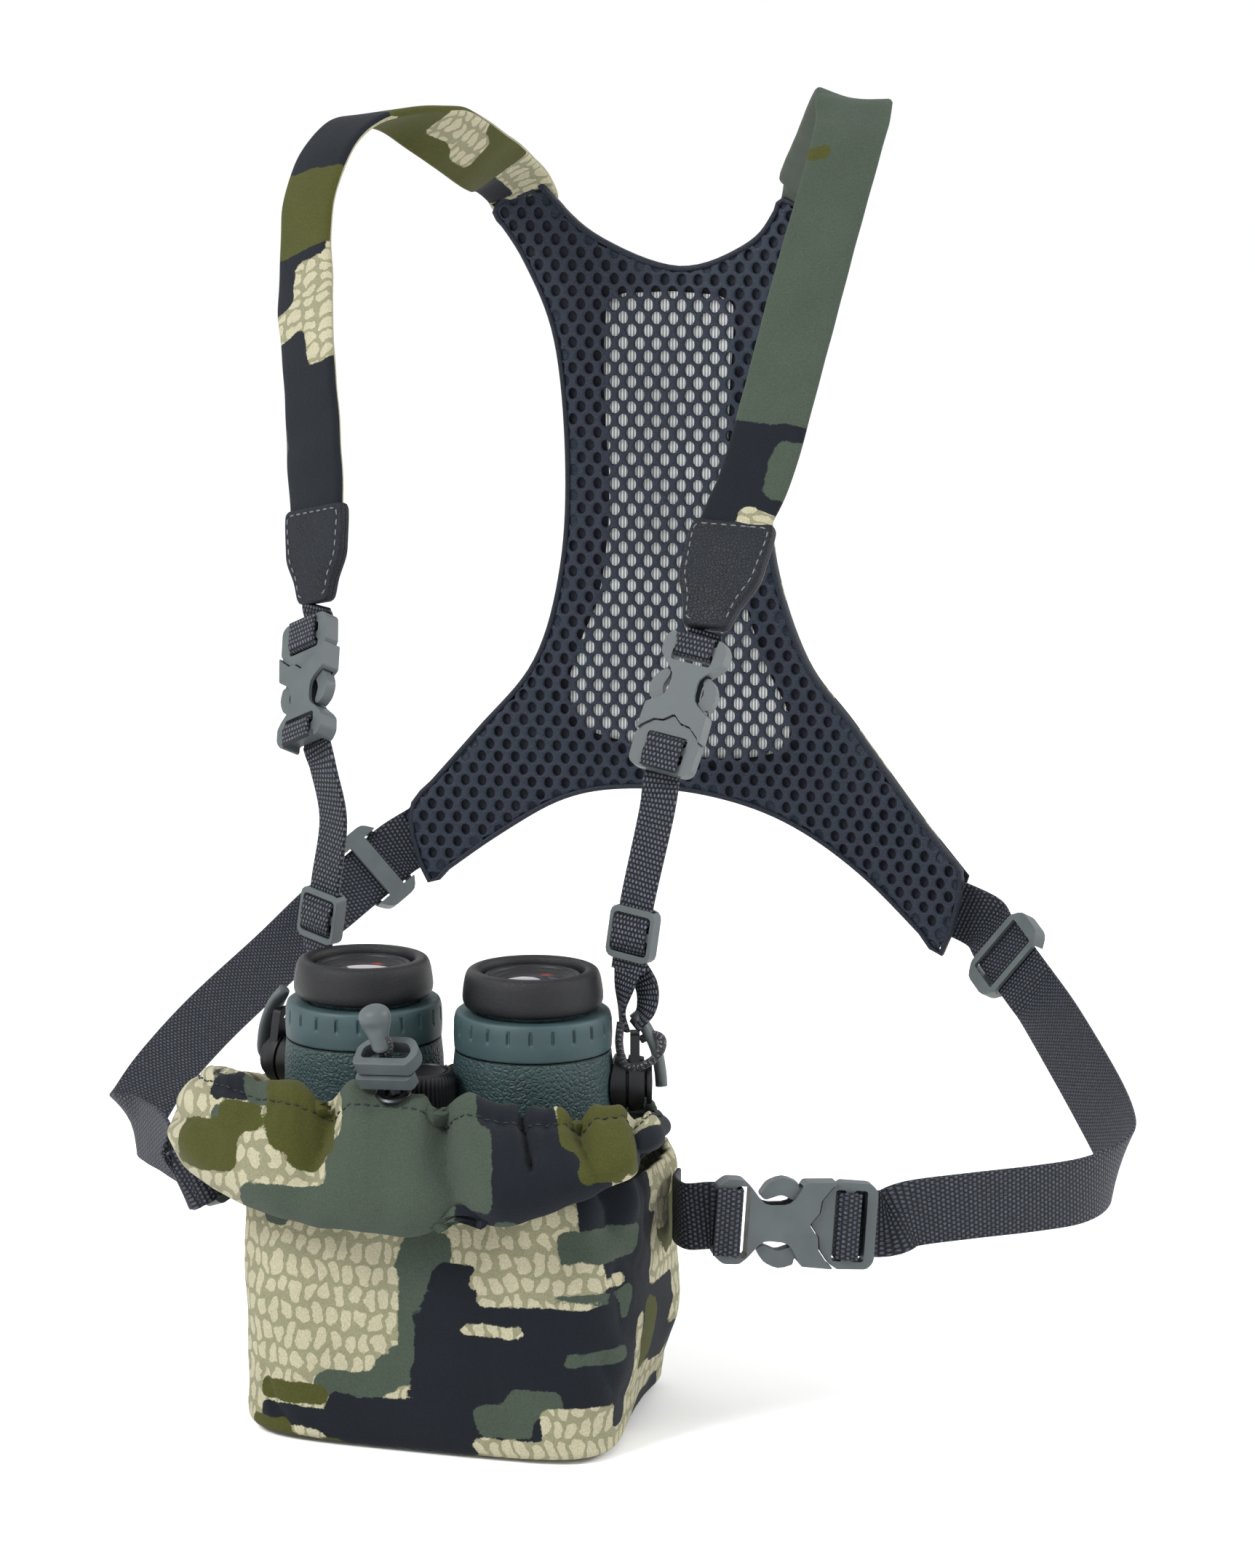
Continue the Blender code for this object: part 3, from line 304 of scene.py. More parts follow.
def armour():
    """Green rubber armour with a wrinkled leather grain."""
    look = Look("armour", 0.52, Specular_IOR_Level=0.4)
    place = look.place()
    height = look.span(look.cells(place, 620), 0.0, 0.25) + look.noise(place, 1500, 3.0, 0.6) * 0.9
    patch = look.span(look.noise(place, 70), 0.3, 0.7)
    return look.finish(look.mix(patch, rgb(50, 71, 74), rgb(58, 80, 82)), look.bump(height, 0.22))


def elastic():
    """Braided elastic with pale flecks."""
    look = Look("elastic_cord", 0.7, Sheen_Weight=0.15)
    lay = look.lay()
    along, across = look.split(lay)
    strands = [look.math("SINE", along * 4.4 + across * lean) for lean in (2.0, -2.0)]
    height = look.math("MAXIMUM", *strands)
    fleck = look.span(height, 0.75, 0.98) * look.span(look.noise(lay, 1.6, 1.0), 0.5, 0.6)
    return look.finish(look.mix(fleck, rgb(27, 29, 35), rgb(140, 146, 154)), look.bump(height, 0.12))


def pale_insert():
    """The stiffener seen through the mesh: pale cloth with fine upright ribs, greyer in their hollows as
    painted shade.
    """
    look = Look("pad_insert", 0.7)
    rib = look.math("SINE", look.split(look.lay())[0] * 5.2)
    # Greyer in the rib hollows and whiter on the crests, following the ribs' bump: painted shade and
    # highlight.
    colour = look.mix(look.span(rib, -0.5, 0.6), rgb(148, 156, 160), rgb(240, 243, 240))
    return look.finish(colour, look.bump(rib, 0.15))


def spacer(name, tone, deep):
    """Knitted spacer mesh: dark filament with a soft broken shine, painted into its colour as paler streaks.
    """
    look = Look(name, 0.62, Specular_IOR_Level=0.25)
    knit = look.noise(look.vector("MULTIPLY", look.lay(), (1.0, 3.2, 1.0)), 1.7)
    # The paler streaks along the knit are a painted sheen.
    colour = look.mix(look.span(knit, 0.38, 0.66), deep, tone)
    return look.finish(colour, look.bump(look.noise(look.place(), 1900), 0.16))


def painted_lens_reflections():
    """Dark glass with painted reflections: paler purple towards its middle, and one warm red spot."""
    look = Look("lens_glass", 0.04, Coat_Weight=1.0, Specular_IOR_Level=0.8)
    # Paler towards the middle: a painted reflection.
    dark = look.mix(look.span(look.value("radius"), 0.2, 0.95), rgb(96, 88, 98), rgb(30, 26, 34))
    # The warm red spot is a painted reflection.
    return look.finish(look.mix(look.value("painted_gleam"), dark, rgb(255, 92, 60)))


def plain(name, colour, roughness, metallic=0.0, **sockets):
    """A material with a light cloud in its colour."""
    look = Look(name, roughness, metallic, **sockets)
    darker = tuple(c * 0.8 for c in colour[:3]) + (1,)
    return look.finish(look.mix(look.span(look.noise(look.place(), 400, 3.0), 0.3, 0.7), darker, colour))


LOOKS = {
    "camo_fabric": camo(),
    # The second colour of each tape is the painted highlight on its rib tops.
    "webbing": webbing("webbing", rgb(112, 119, 133)),
    "waist_tape": webbing("waist_tape", rgb(92, 99, 115), (1.45, 1.5), 0.6),
    "tab_leather": leather(),
    "grey_hardware": moulded("grey_hardware", rgb(84, 91, 93), 0.46),
    "black_plastic": moulded("black_plastic", rgb(24, 25, 28), 0.42, 0.04, 0.3),
    "black_rubber": moulded("black_rubber", rgb(17, 18, 22), 0.42, 0.2, 0.25),
    "armour": armour(),
    "smooth_armour": moulded("smooth_armour", rgb(60, 80, 83), 0.5),
    "elastic_cord": elastic(),
    "pad_insert": pale_insert(),
    "spacer_mesh": spacer("spacer_mesh", rgb(58, 67, 82), rgb(30, 36, 47)),
    "spacer_back": spacer("spacer_back", rgb(44, 51, 63), rgb(28, 33, 42)),
    "lens_glass": painted_lens_reflections(),
    "prism_glass": plain("prism_glass", rgb(210, 218, 220), 0.08, Transmission_Weight=0.6),
    "grommet_metal": plain("grommet_metal", rgb(70, 71, 74), 0.3, 1.0),
    "thread": plain("thread", rgb(34, 36, 40), 0.7),
    "pale_thread": plain("pale_thread", rgb(120, 124, 128), 0.7),
}


# Helpers for shapes

def unit(v):
    return np.asarray(v, float) / np.linalg.norm(v)


def smooth_curve(points, steps):
    """A Catmull-Rom curve through the points, with so many steps between each pair."""
    p = np.array(points, float)
    p = np.concatenate([2 * p[:1] - p[1:2], p, 2 * p[-1:] - p[-2:-1]])
    out = []
    for i in range(1, len(p) - 2):
        for t in np.arange(steps) / steps:
            a = 2 * p[i] + (p[i + 1] - p[i - 1]) * t
            b = (2 * p[i - 1] - 5 * p[i] + 4 * p[i + 1] - p[i + 2]) * t**2
            c = (3 * p[i] - p[i - 1] - 3 * p[i + 1] + p[i + 2]) * t**3
            out.append((a + b + c) / 2)
    return np.array(out + [p[-2]])


def closed_curve(points, steps):
    loop = list(points[-2:]) + list(points) + list(points[:3])
    return smooth_curve(loop, steps)[2 * steps : (2 + len(points)) * steps]


def run_along(points):
    """Each point's distance along a line of points."""
    return np.concatenate([[0], np.cumsum(np.linalg.norm(np.diff(points, axis=0), axis=1))])


def shift(*offset):
    return Matrix.Translation(Vector(offset) * MM)


def frame_at(origin, along, across):
    """A placing matrix: local X runs along, local Y across, and local Z out of the face."""
    x = unit(along)
    y = np.asarray(across, float)
    y = unit(y - x * (y @ x))
    return shift(*origin) @ Matrix(np.column_stack([x, y, np.cross(x, y)]).tolist()).to_4x4()


def in_frame(place, points):
    """Turns points given in a piece's own frame, in millimetres, into world points."""
    return [tuple((place @ (Vector(p) * MM)) / MM) for p in points]


def axis_of(place, k):
    return tuple(place.to_3x3().col[k].normalized())


def cross_route(points, across):
    """A route as sweep takes it: rows of a centre's three numbers and a direction's three."""
    return [(*p, *across) for p in points]


def placed_route(place, points):
    return cross_route(in_frame(place, points), axis_of(place, 1))


def store(mesh, name, values):
    """Keeps a number or a triple for every vertex, which the material reads."""
    kind, field = ("FLOAT_VECTOR", "vector") if np.ndim(values) == 2 else ("FLOAT", "value")
    kept = mesh.attributes.get(name) or mesh.attributes.new(name, kind, "POINT")
    kept.data.foreach_set(field, np.asarray(values, np.float32).ravel())


def read_points(data, field):
    values = np.zeros(len(data) * 3, np.float32)
    data.foreach_get(field, values)
    return values.reshape(-1, 3).astype(float)


def piece(name, points, faces, look, node=None, body=PACK, lay=None, smooth=60):
    """Makes one shown piece from points in millimetres. It rides on a body and may replace a CAD node."""
    mesh = bpy.data.meshes.new(name)
    mesh.from_pydata((np.asarray(points, float) * MM).tolist(), [], faces)
    if lay is not None:
        store(mesh, "lay", np.reshape(lay, (-1, 3)))
    bm = bmesh.new()
    bm.from_mesh(mesh)
    bmesh.ops.remove_doubles(bm, verts=bm.verts, dist=0.000002)
    bmesh.ops.recalc_face_normals(bm, faces=bm.faces)
    bm.to_mesh(mesh)
    bm.free()
    mesh.materials.append(LOOKS[look])
    mesh.shade_smooth()
    mesh.set_sharp_from_angle(angle=math.radians(smooth))
    made = add(name, mesh)
    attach(made, body)
    if node:
        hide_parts(node)
    return made


def grid_faces(rows, count):
    """Quads between closed rings of points, where each ring holds so many."""
    faces = []
    for r in range(rows - 1):
        for i in range(count):
            j = (i + 1) % count
            faces.append((r * count + i, r * count + j, (r + 1) * count + j, (r + 1) * count + i))
    return faces


def capped(rows, count, base=0):
    """The same, with a face over both ends, for points that start at a base number."""
    faces = grid_faces(rows, count) + [
        tuple(range(count))[::-1], tuple(range((rows - 1) * count, rows * count))
    ]
    return [tuple(base + k for k in face) for face in faces]


def flat_section(width, thickness, crown=0.0, count=9):
    """A tape's section, as (across, out): rounded edges, and a crown for padded tape."""
    half, edge = width / 2, thickness / 2
    ys = np.linspace(-half + edge, half - edge, count)
    top = [(y, edge + crown * (1 - (y / half) ** 2)) for y in ys]
    side = [(half - edge + edge * math.cos(a), edge * math.sin(a)) for a in np.radians([50, 0, -50])]
    bottom = [(y, -z) for y, z in reversed(top)]
    return top + side + bottom + [(-y, -z) for y, z in side]


def round_section(width, height, count):
    angles = np.linspace(0, 2 * math.pi, count, endpoint=False)
    return [(width * math.cos(a), height * math.sin(a)) for a in angles]


def sweep(name, route, section, look, node=None, body=PACK, steps=8, taper=None, ripple=None):
    """Runs a closed section along a route. Taper scales its width and ripple lifts its face."""
    centres = smooth_curve([row[:3] for row in route], steps)
    across = smooth_curve([unit(row[3:]) for row in route], steps)
    run = run_along(centres)
    points, lay = [], []
    for d, centre, side, tangent in zip(run, centres, across, np.gradient(centres, axis=0)):
        tangent = unit(tangent)
        side = unit(side - tangent * (side @ tangent))
        out = np.cross(side, tangent)
        wide = taper(d / run[-1]) if taper else 1.0
        for y, z in section:
            lift = ripple(d, y) if ripple else 0.0
            points.append(centre + side * y * wide + out * (z + lift))
            lay.append((d, y, z))
    return piece(name, points, capped(len(centres), len(section)), look, node, body, lay)


def lathe(name, profile, look, place, count=96, node=None, body=PACK, warp=None):
    """Turns a closed profile of (radius, height) about local Z. Warp changes a point's radius."""
    points = []
    for radius, z in profile:
        for angle in np.arange(count) * 2 * math.pi / count:
            r = warp(angle, radius, z) if warp else radius
            points.append((r * math.cos(angle), r * math.sin(angle), z))
    faces = grid_faces(len(profile), count)
    last = len(points) - count
    faces += [(last + i, last + (i + 1) % count, (i + 1) % count, i) for i in range(count)]
    return piece(name, in_frame(place, points), faces, look, node, body, smooth=40)


def rounded(profile, radius=0.8, steps=3):
    """Rounds the corners of an open profile of (radius, height)."""
    points = [Vector(p) for p in profile]
    out = [tuple(points[0])]
    for before, here, after in zip(points, points[1:], points[2:]):
        back, ahead = before - here, after - here
        reach = min(radius, back.length * 0.45, ahead.length * 0.45)
        start, end = here + back.normalized() * reach, here + ahead.normalized() * reach
        for t in np.linspace(0, 1, steps + 1):
            out.append(tuple(start * (1 - t) ** 2 + here * 2 * t * (1 - t) + end * t**2))
    return out + [tuple(points[-1])]


def split_rows(profile, length):
    """Cuts a profile's straight runs into steps of about a length, so that it can be warped."""
    rows = [profile[0]]
    for a, b in zip(np.array(profile), np.array(profile[1:])):
        parts = max(1, round(math.dist(a, b) / length))
        rows += [tuple(a + (b - a) * k / parts) for k in range(1, parts + 1)]
    return rows


def dashes(name, path, normals, look, length=1.9, gap=1.1, radius=0.28):
    """Stitches: short capsules laid along a path on a surface."""
    path, normals = np.asarray(path, float), np.asarray(normals, float)
    run = run_along(path)

    def at(table, d):
        return np.array([np.interp(d, run, table[:, k]) for k in range(3)])

    points, faces = [], []
    for start in np.arange(0.0, run[-1] - length, length + gap):
        faces += capped(5, 6, len(points))
        ends = [at(path, start + length * t) for t in (0, 0.12, 0.5, 0.88, 1)]
        along = unit(ends[-1] - ends[0])
        up = unit(at(normals, start + length / 2))
        side = unit(np.cross(along, up))
        for end, size, rise in zip(ends, (0.25, 0.9, 1, 0.9, 0.25), (-0.2, 0.1, 0.35, 0.1, -0.2)):
            for a in np.arange(6) * math.pi / 3:
                points.append(
                    end + (side * math.cos(a) + up * math.sin(a)) * radius * size + up * rise * radius
                )
    return piece(name, points, faces, look)


# Camouflage patches: (low across, high across, low up, high up) in millimetres on the laid-out cloth

def patch_reach(s, t, patches, blend=1.3):
    """Distance outside the nearest of some rounded patches, negative inside, with soft joins."""
    total = np.full(np.shape(s), 1e-9)
    for x0, x1, y0, y1 in patches:
        half_x, half_y = (x1 - x0) / 2, (y1 - y0) / 2
        r = min(half_x, half_y, 4.0) * 0.8
        qx = np.abs(s - (x0 + x1) / 2) - half_x + r
        qy = np.abs(t - (y0 + y1) / 2) - half_y + r
        reach = np.hypot(np.maximum(qx, 0), np.maximum(qy, 0)) + np.minimum(np.maximum(qx, qy), 0) - r
        total += np.exp(-np.clip(reach, -60, 60) / blend)
    return np.clip(-blend * np.log(total), -30, 30)


def scattered(low_s, high_s, low_t, high_t, step=34):
    """Patches for the cloth that the front doesn't show, spread evenly with a fixed seed."""
    layers = {layer: [] for layer in CAMO_LAYERS}
    names = ["navy", "green_low", "olive", "navy", "green_high", "navy", "cream_high"]
    places = [(s, t) for s in np.arange(low_s, high_s, step) for t in np.arange(low_t, high_t, step * 0.62)]
    for k, (s, t) in enumerate(places):
        wide, tall = rng.uniform(8, 19), rng.uniform(4, 11)
        x, y = s + rng.uniform(-6, 6), t + rng.uniform(-5, 5)
        layer = layers[names[(k * 3 + int(rng.integers(0, 2))) % len(names)]]
        layer.append((x - wide, x + wide, y - tall, y + tall))
        layer.append((x - wide * 0.4, x + wide * 0.6, y - tall * 1.7, y + tall * 0.4))
    return layers


def paint(obj, *maps, hidden=0.0, inner=0.0):
    """Stores each point's distance from each layer's patches, and its place on the laid-out cloth.

    A strap's lay starts after the length that its tab hides, and its inner face lies beside the outer one."""
    s, t, out = read_points(obj.data.attributes["lay"].data, "vector").T
    s = s - hidden
    t = t + np.where(out < -0.2, inner, 0)
    for layer in CAMO_LAYERS:
        store(obj.data, layer, patch_reach(s, t, [p for m in maps for p in m.get(layer, [])]))
    store(obj.data, "lay", np.stack([s, t, np.zeros_like(s)], 1))


# The pouch

BODY_LEVELS = [
    (0.2, 60, 45.5, 4.6, 3, -2.5), (1.7, 62.5, 48.0, 5.0, 3, -2.5), (6.0, 63.5, 48.7, 4.8, 2, -2),
    (22.0, 64, 47.5, 4.4, 1, -1), (45.0, 64, 46, 4.2, 0.5, 0), (66.0, 64, 44.5, 4.0, 0.5, 0),
    (77.0, 64.5, 44, 3.6, 1, 0), (83.0, 62.5, 42.5, 3.4, 1, 0),
]
BODY_FOLDS = [
    ([(58, 88), (62, 72), (73, 58), (92, 50)], (3.4, 0.8), (3.6, 4.0)),
    ([(64, 56), (68, 40), (84, 30)], (2.0, 0.6), (3.6, 4.0)),
    ([(78, 86), (82, 66), (96, 56)], (2.8, 0.8), (3.4, 4.0)),
    ([(60, 30), (66, 20), (82, 12)], (1.4, 0.5), (2.6, 3.0)),
    ([(-52, 20), (-46, 9), (-37, 2)], (0.9, 1.3), (1.4, 1.8)),
    ([(-70, 80), (-72, 45), (-69, 12)], (2.4, 1.4), (2.4, 2.6)),
]
BODY_PATCHES = {
    "green_low": [(-6, 13, 52, 69), (-7, 4, 22, 57), (-32, -9, 15, 23), (-13, 0, 22, 29), (-54, -44, 66, 72)],
    "navy": [
        (0, 75, 16, 47), (6, 21, 44, 60), (-27, 47, 0, 16), (-52, -20, 4.5, 11), (52, 95, 68, 84),
        (60, 90, 30, 73),
        (66, 76, 8, 34),
    ],
    "green_high": [
        (45, 74, 61, 71), (44, 71, 48, 51), (47, 70, 29, 33.5), (18, 37, 7, 17), (29, 47, 14, 22),
        (68, 71, 42, 51),
    ],
    "olive": [(-53, -27, 11.5, 18), (-58, -40, -4, 6), (-42, -22, -3, 2), (-9, -5, 19, 22), (84, 98, 20, 43)],
    "cream_high": [
        (19, 68, 52, 56.5), (22, 46, 55, 80), (15, 35, 37.5, 41.5), (39, 56, 7, 17),
        (16, 68, -4, 7), (54, 66, 6, 13),
        (78, 84, 6, 40),
    ],
}
COLLAR_PATCHES = {
    "olive": [
        (-44, -24, 93, 130), (-38, -28, 88, 96), (-74, -53, 85, 100), (-60, -46, 97, 106), (49, 59, 99, 130),
        (55, 74, 90, 130),
    ],
    "green_low": [(-21, 29, 75, 130), (-26, -16, 78, 98), (-52, 21, 60, 83)],
    "green_high": [(-52, -42, 105, 115), (-63, -55, 97, 104), (28, 36, 70, 78)],
    "navy": [
        (28, 66, 77, 106), (23, 48, 104, 130), (-63, -50, 106, 112), (68, 80, 94, 106), (17, 62, 60, 79)
    ],
    "cream_high": [(72, 84, 107, 114), (68, 90, 60, 94)],
}


def eased(value, low, high):
    """0 below low, 1 above high, and smooth between."""
    t = np.clip((np.asarray(value, float) - low) / (high - low), 0, 1)
    return t * t * (3 - 2 * t)


def waves(s, t, scale, seed):
    """Smooth noise over the laid-out cloth, about -1 to 1."""
    flat = zip(np.ravel(s), np.ravel(t))
    return np.array([noise.noise(Vector((a / scale, b / scale, seed))) for a, b in flat]).reshape(np.shape(s))


def crease(s, t, line, depth, width):
    """How far a fold along a line of (s, t) points pushes the cloth in, with a soft lip on both sides."""
    best = np.full(np.shape(s), 1e9)
    share = np.zeros(np.shape(s))
    line = np.array(line, float)
    for k, (a, run) in enumerate(zip(line, np.diff(line, axis=0))):
        f = np.clip(((s - a[0]) * run[0] + (t - a[1]) * run[1]) / (run @ run), 0, 1)
        reach = np.hypot(s - a[0] - f * run[0], t - a[1] - f * run[1])
        share = np.where(reach < best, (k + f) / (len(line) - 1), share)
        best = np.minimum(best, reach)
    strength = depth[0] + (depth[1] - depth[0]) * share
    spread = width[0] + (width[1] - width[0]) * share
    valley = np.exp(-((best / spread) ** 1.3))
    lip = 0.28 * np.exp(-(((best - 2.1 * spread) / (1.3 * spread)) ** 2))
    return strength * (lip - valley)


def outward(points):
    """Normals of a closed grid of points, facing away from its inside."""
    normals = np.cross(np.roll(points, -1, 1) - np.roll(points, 1, 1), np.gradient(points, axis=0))
    return normals / np.maximum(np.linalg.norm(normals, axis=2, keepdims=True), 1e-9)


def around(ring):
    """Signed distance round a ring from its first point, which is where it is zero."""
    steps = np.linalg.norm(np.roll(ring, -1, 0) - ring, axis=1)
    run = np.concatenate([[0], np.cumsum(steps)[:-1]])
    return np.where(run > steps.sum() / 2, run - steps.sum(), run)


def thicken(obj, wall, offset=-1):
    thick = obj.modifiers.new("wall", "SOLIDIFY")
    thick.thickness = wall * MM
    thick.offset = offset


def pouch_body():
    """The bag: a boxy base, a soft belly, and gusset folds down its right side."""
    count = 300
    angles = np.radians(-90) + np.linspace(0, 2 * math.pi, count, endpoint=False)
    c, s = np.cos(angles), np.sin(angles)
    rings = []
    for z, half_x, half_y, power, x0, y0 in smooth_curve(BODY_LEVELS, 8):
        x = x0 + half_x * np.sign(c) * np.abs(c) ** (2 / power)
        y = y0 + half_y * np.sign(s) * np.abs(s) ** (2 / power)
        rings.append(np.stack([x, y, np.full(count, z)], 1))
    points = np.array(rings)
    run = np.tile(around(points[len(points) // 2]), (len(points), 1))
    z = points[..., 2]
    push = 1.9 * waves(run, z, 26, 3.1) + 0.45 * waves(run, z, 9, 8.3)
    push += sum(crease(run, z, *fold) for fold in BODY_FOLDS)
    push *= eased(z, 1, 9)
    push += 1.4 * np.clip(1 - (run / 58) ** 2, 0, 1) * np.sin(np.pi * np.clip(z / 84, 0, 1))
    push += 0.8 * np.sin(run * 2 * math.pi / 13 + 2 * waves(run, z, 20, 1.7)) * eased(z, 60, 78)
    points = points + outward(points) * push[..., None]
    tuck = np.exp(-(((run - 112) / 42) ** 2)) * (1 - eased(z, -6, 38))
    points[..., 0] -= 10 * tuck
    points[..., 2] = np.maximum(points[..., 2], 0.2) + 3 * tuck
    lay = np.stack([run, z, np.zeros_like(run)], -1)
    base = [points[0] * [f, f, 1] + [3 * (1 - f), -2.5 * (1 - f), 0] for f in (0.02, 0.5, 0.9)]
    flat = np.concatenate([np.array(base), points])
    lay = np.concatenate([np.repeat(lay[:1], 3, 0), lay])
    faces = grid_faces(len(flat), count)
    bag = piece("pouch_cloth", flat.reshape(-1, 3), faces, "camo_fabric", "pouch_body", lay=lay)
    thicken(bag, 1.9)
    paint(bag, BODY_PATCHES, scattered(104, 290, 0, 90), scattered(-290, -72, 0, 90))


# Each ring of the collar runs from the middle of the front round by the right, the back and the left.
COLLAR_RINGS = [
    [
        (-2, -60, 72.5), (40, -57, 79), (68, -40, 91), (66.5, -14, 93.5), (59.5, 16, 87.5), (43, 35, 86),
        (0, 36, 85), (-42, 36, 84), (-70, 28, 86), (-87, -12, 82), (-74, -42, 80), (-42, -56, 74.5),
    ],
    [
        (-2, -62.5, 83), (41, -59, 88), (71, -41, 98), (69, -14, 97.5), (61, 17, 91), (45, 36.5, 91),
        (0, 38.5, 90), (-43, 38, 90), (-73.5, 27, 91), (-90, -10, 92), (-77, -44, 91), (-43, -59, 84),
    ],
    [
        (-5, -51, 102), (38, -50, 101), (67.5, -36, 105), (68, -13, 101.5), (60.5, 16.5, 94), (44, 36, 96),
        (-2, 38, 98), (-46, 37, 97), (-73, 25, 94.5), (-86, -8, 100.5), (-73, -38, 105), (-41, -50, 100.5),
    ],
    [
        (-7, -41, 110.5), (33, -40, 107), (60, -31, 107), (65.5, -11, 101), (58.5, 16, 95), (42, 35, 98),
        (-4, 36.5, 100), (-47, 35.5, 99), (-71, 24, 95.5), (-80.5, -6, 104), (-66, -32, 109.5),
        (-38, -40, 108),
    ],
    [
        (-7, -37, 105.5), (32, -35, 101), (57, -27, 101), (62.5, -9, 96.5), (56, 15.5, 93.5), (40, 33.5, 95),
        (-4, 35, 97), (-45, 34, 96), (-68, 22, 92.5), (-76.5, -4, 98), (-63, -28, 104), (-37, -35, 104),
    ],
    [
        (-6, -34.5, 97.5), (24, -31.5, 95), (47, -22, 94), (53, 0, 91), (50, 18, 90.5), (30, 31, 91),
        (-5, 33, 94), (-38, 32, 93), (-61, 20, 90.5), (-64, 0, 91.5), (-57, -22, 94), (-34, -31.5, 96),
    ],
]
COLLAR_FOLDS = [
    ([(-24, 124), (-26, 104), (-32, 87)], (9.0, 5.0), (3.4, 6.5)),
    ([(12, 124), (11, 98), (17, 75)], (9.5, 5.5), (3.0, 7.0)),
    ([(37.5, 124), (38, 106), (40, 94)], (4.6, 3.8), (1.4, 1.2)),
    ([(54, 124), (56, 104), (61, 92)], (7.5, 2.0), (2.4, 3.2)),
    ([(-47, 124), (-49, 106)], (3.4, 0.8), (2.6, 3.0)),
    ([(-84, 97), (-70, 99), (-62, 93)], (3.4, 0.8), (2.2, 3.4)),
    ([(73, 124), (76, 100), (80, 90)], (6.0, 2.0), (2.4, 3.2)),
]
ROLL_STEPS = 9
STITCH_LEVEL = 4.42
EYELET = (-7.0, -42.2, 110.6)
EYELET_LEAN = 0.45
VIEW_SLANT = 0.375


def collar_grid():
    """The gathered cuff as a grid of points, from its rolled lower edge over the crest and down inside."""
    edge = np.array(COLLAR_RINGS[0], float)
    inward = (edge.mean(0) - edge) * [1, 1, 0]
    inward /= np.linalg.norm(inward, axis=1, keepdims=True)
    rings = [edge + inward * 3.4 + [0, 0, 5.5], edge + inward * 2.6 + [0, 0, 0.8]] + COLLAR_RINGS
    columns = [smooth_curve(column, ROLL_STEPS) for column in zip(*rings)]
    points = np.array([closed_curve(level, 34) for level in zip(*columns)])
    z = points[..., 2]
    rolled = z[: 3 * ROLL_STEPS]
    index = np.arange(len(points))[:, None]
    t = np.where(index < rolled.argmin(0), 2 * rolled.min(0) - z, z)
    t = np.where(index > z.argmax(0), 2 * z.max(0) - z, t)
    t = t + 0.14 * (points[..., 1] + 52) * eased(-points[..., 1], 5, 30)
    return points, front_run(points), t


def front_run(points):
    """Place round the cuff: as the front view sees it at the front, and by length behind that."""
    step = np.roll(points, -1, 1) - points
    length = np.linalg.norm(step, axis=2)
    seen = np.maximum(step[..., 0] + VIEW_SLANT * step[..., 1], 0.4 * length)
    near = eased(-points[..., 1], -4, 14)
    forward = near * seen + (1 - near) * length
    half = points.shape[1] // 2
    start = points[:, :1, 0] + VIEW_SLANT * (points[:, :1, 1] + 52)
    right = start + np.cumsum(forward[:, :half], 1)
    left = start - np.cumsum(forward[:, :half:-1], 1)
    return np.concatenate([start, right, left[:, ::-1]], 1)


def collar_push(points, s, t):
    """How far the folds, gathers, seam and roll move each point of the cuff outwards."""
    level = np.arange(len(points))[:, None] / ROLL_STEPS * np.ones_like(s)
    seam = level - STITCH_LEVEL
    push = sum(crease(s, t, *fold) for fold in COLLAR_FOLDS)
    gather = np.abs(((s + 4 * waves(s, t, 30, 5.0)) % 19) - 9.5)
    upper = 0.25 + 0.75 * eased(level, 2.4, 4.6)
    push -= eased(np.abs(s), 78, 96) * upper * 3.2 * np.exp(-((gather / 3.2) ** 1.3))
    push += 1.1 * waves(s, t, 24, 2.2) + 0.4 * waves(s, t, 8, 6.1)
    push -= 0.9 * np.exp(-((seam / 0.16) ** 2))
    push += 0.45 * np.sin(s * 2 * math.pi / 4.6 + 3 * waves(s, t, 12, 9.0)) * np.exp(-np.abs(seam) / 0.4)
    push += 1.6 * np.sin(np.pi * np.clip(seam / 1.6, 0, 1))
    push += 2.2 * np.exp(-(((level - 3.1) / 0.8) ** 2)) * (0.55 + 0.45 * np.sin((s - 6) * math.pi / 34))
    push *= eased(np.linalg.norm(points - np.array(EYELET), axis=2), 6.5, 13)
    return push * (1 - 0.8 * eased(level, 5.6, 6.6))


def off_eyelet(centres):
    """True for each face of the cuff that the eyelet's hole leaves whole."""
    axis = np.array([0, -math.sin(EYELET_LEAN), math.cos(EYELET_LEAN)])
    offset = centres - np.array(EYELET)
    reach = np.linalg.norm(offset - np.outer(offset @ axis, axis), axis=1)
    return (reach > 3.5) | (np.abs(offset @ axis) > 5)


def pouch_collar():
    points, s, t = collar_grid()
    points = points + outward(points) * collar_push(points, s, t)[..., None]
    faces = grid_faces(len(points), points.shape[1])
    flat = points.reshape(-1, 3)
    faces = [face for face, kept in zip(faces, off_eyelet(flat[np.array(faces)].mean(1))) if kept]
    lay = np.stack([s, t, np.zeros_like(s)], -1)
    collar = piece("pouch_collar_cloth", flat, faces, "camo_fabric", "pouch_collar", lay=lay)
    thicken(collar, 2.0)
    paint(collar, COLLAR_PATCHES, scattered(92, 300, 74, 140), scattered(-300, -82, 74, 140))
    row = round(STITCH_LEVEL * ROLL_STEPS)
    normals = outward(points)[row]
    path = points[row] + normals * 0.15
    dashes("collar_stitching", np.vstack([path, path[:1]]), np.vstack([normals, normals[:1]]), "thread")


# Shoulder straps and their leather tabs

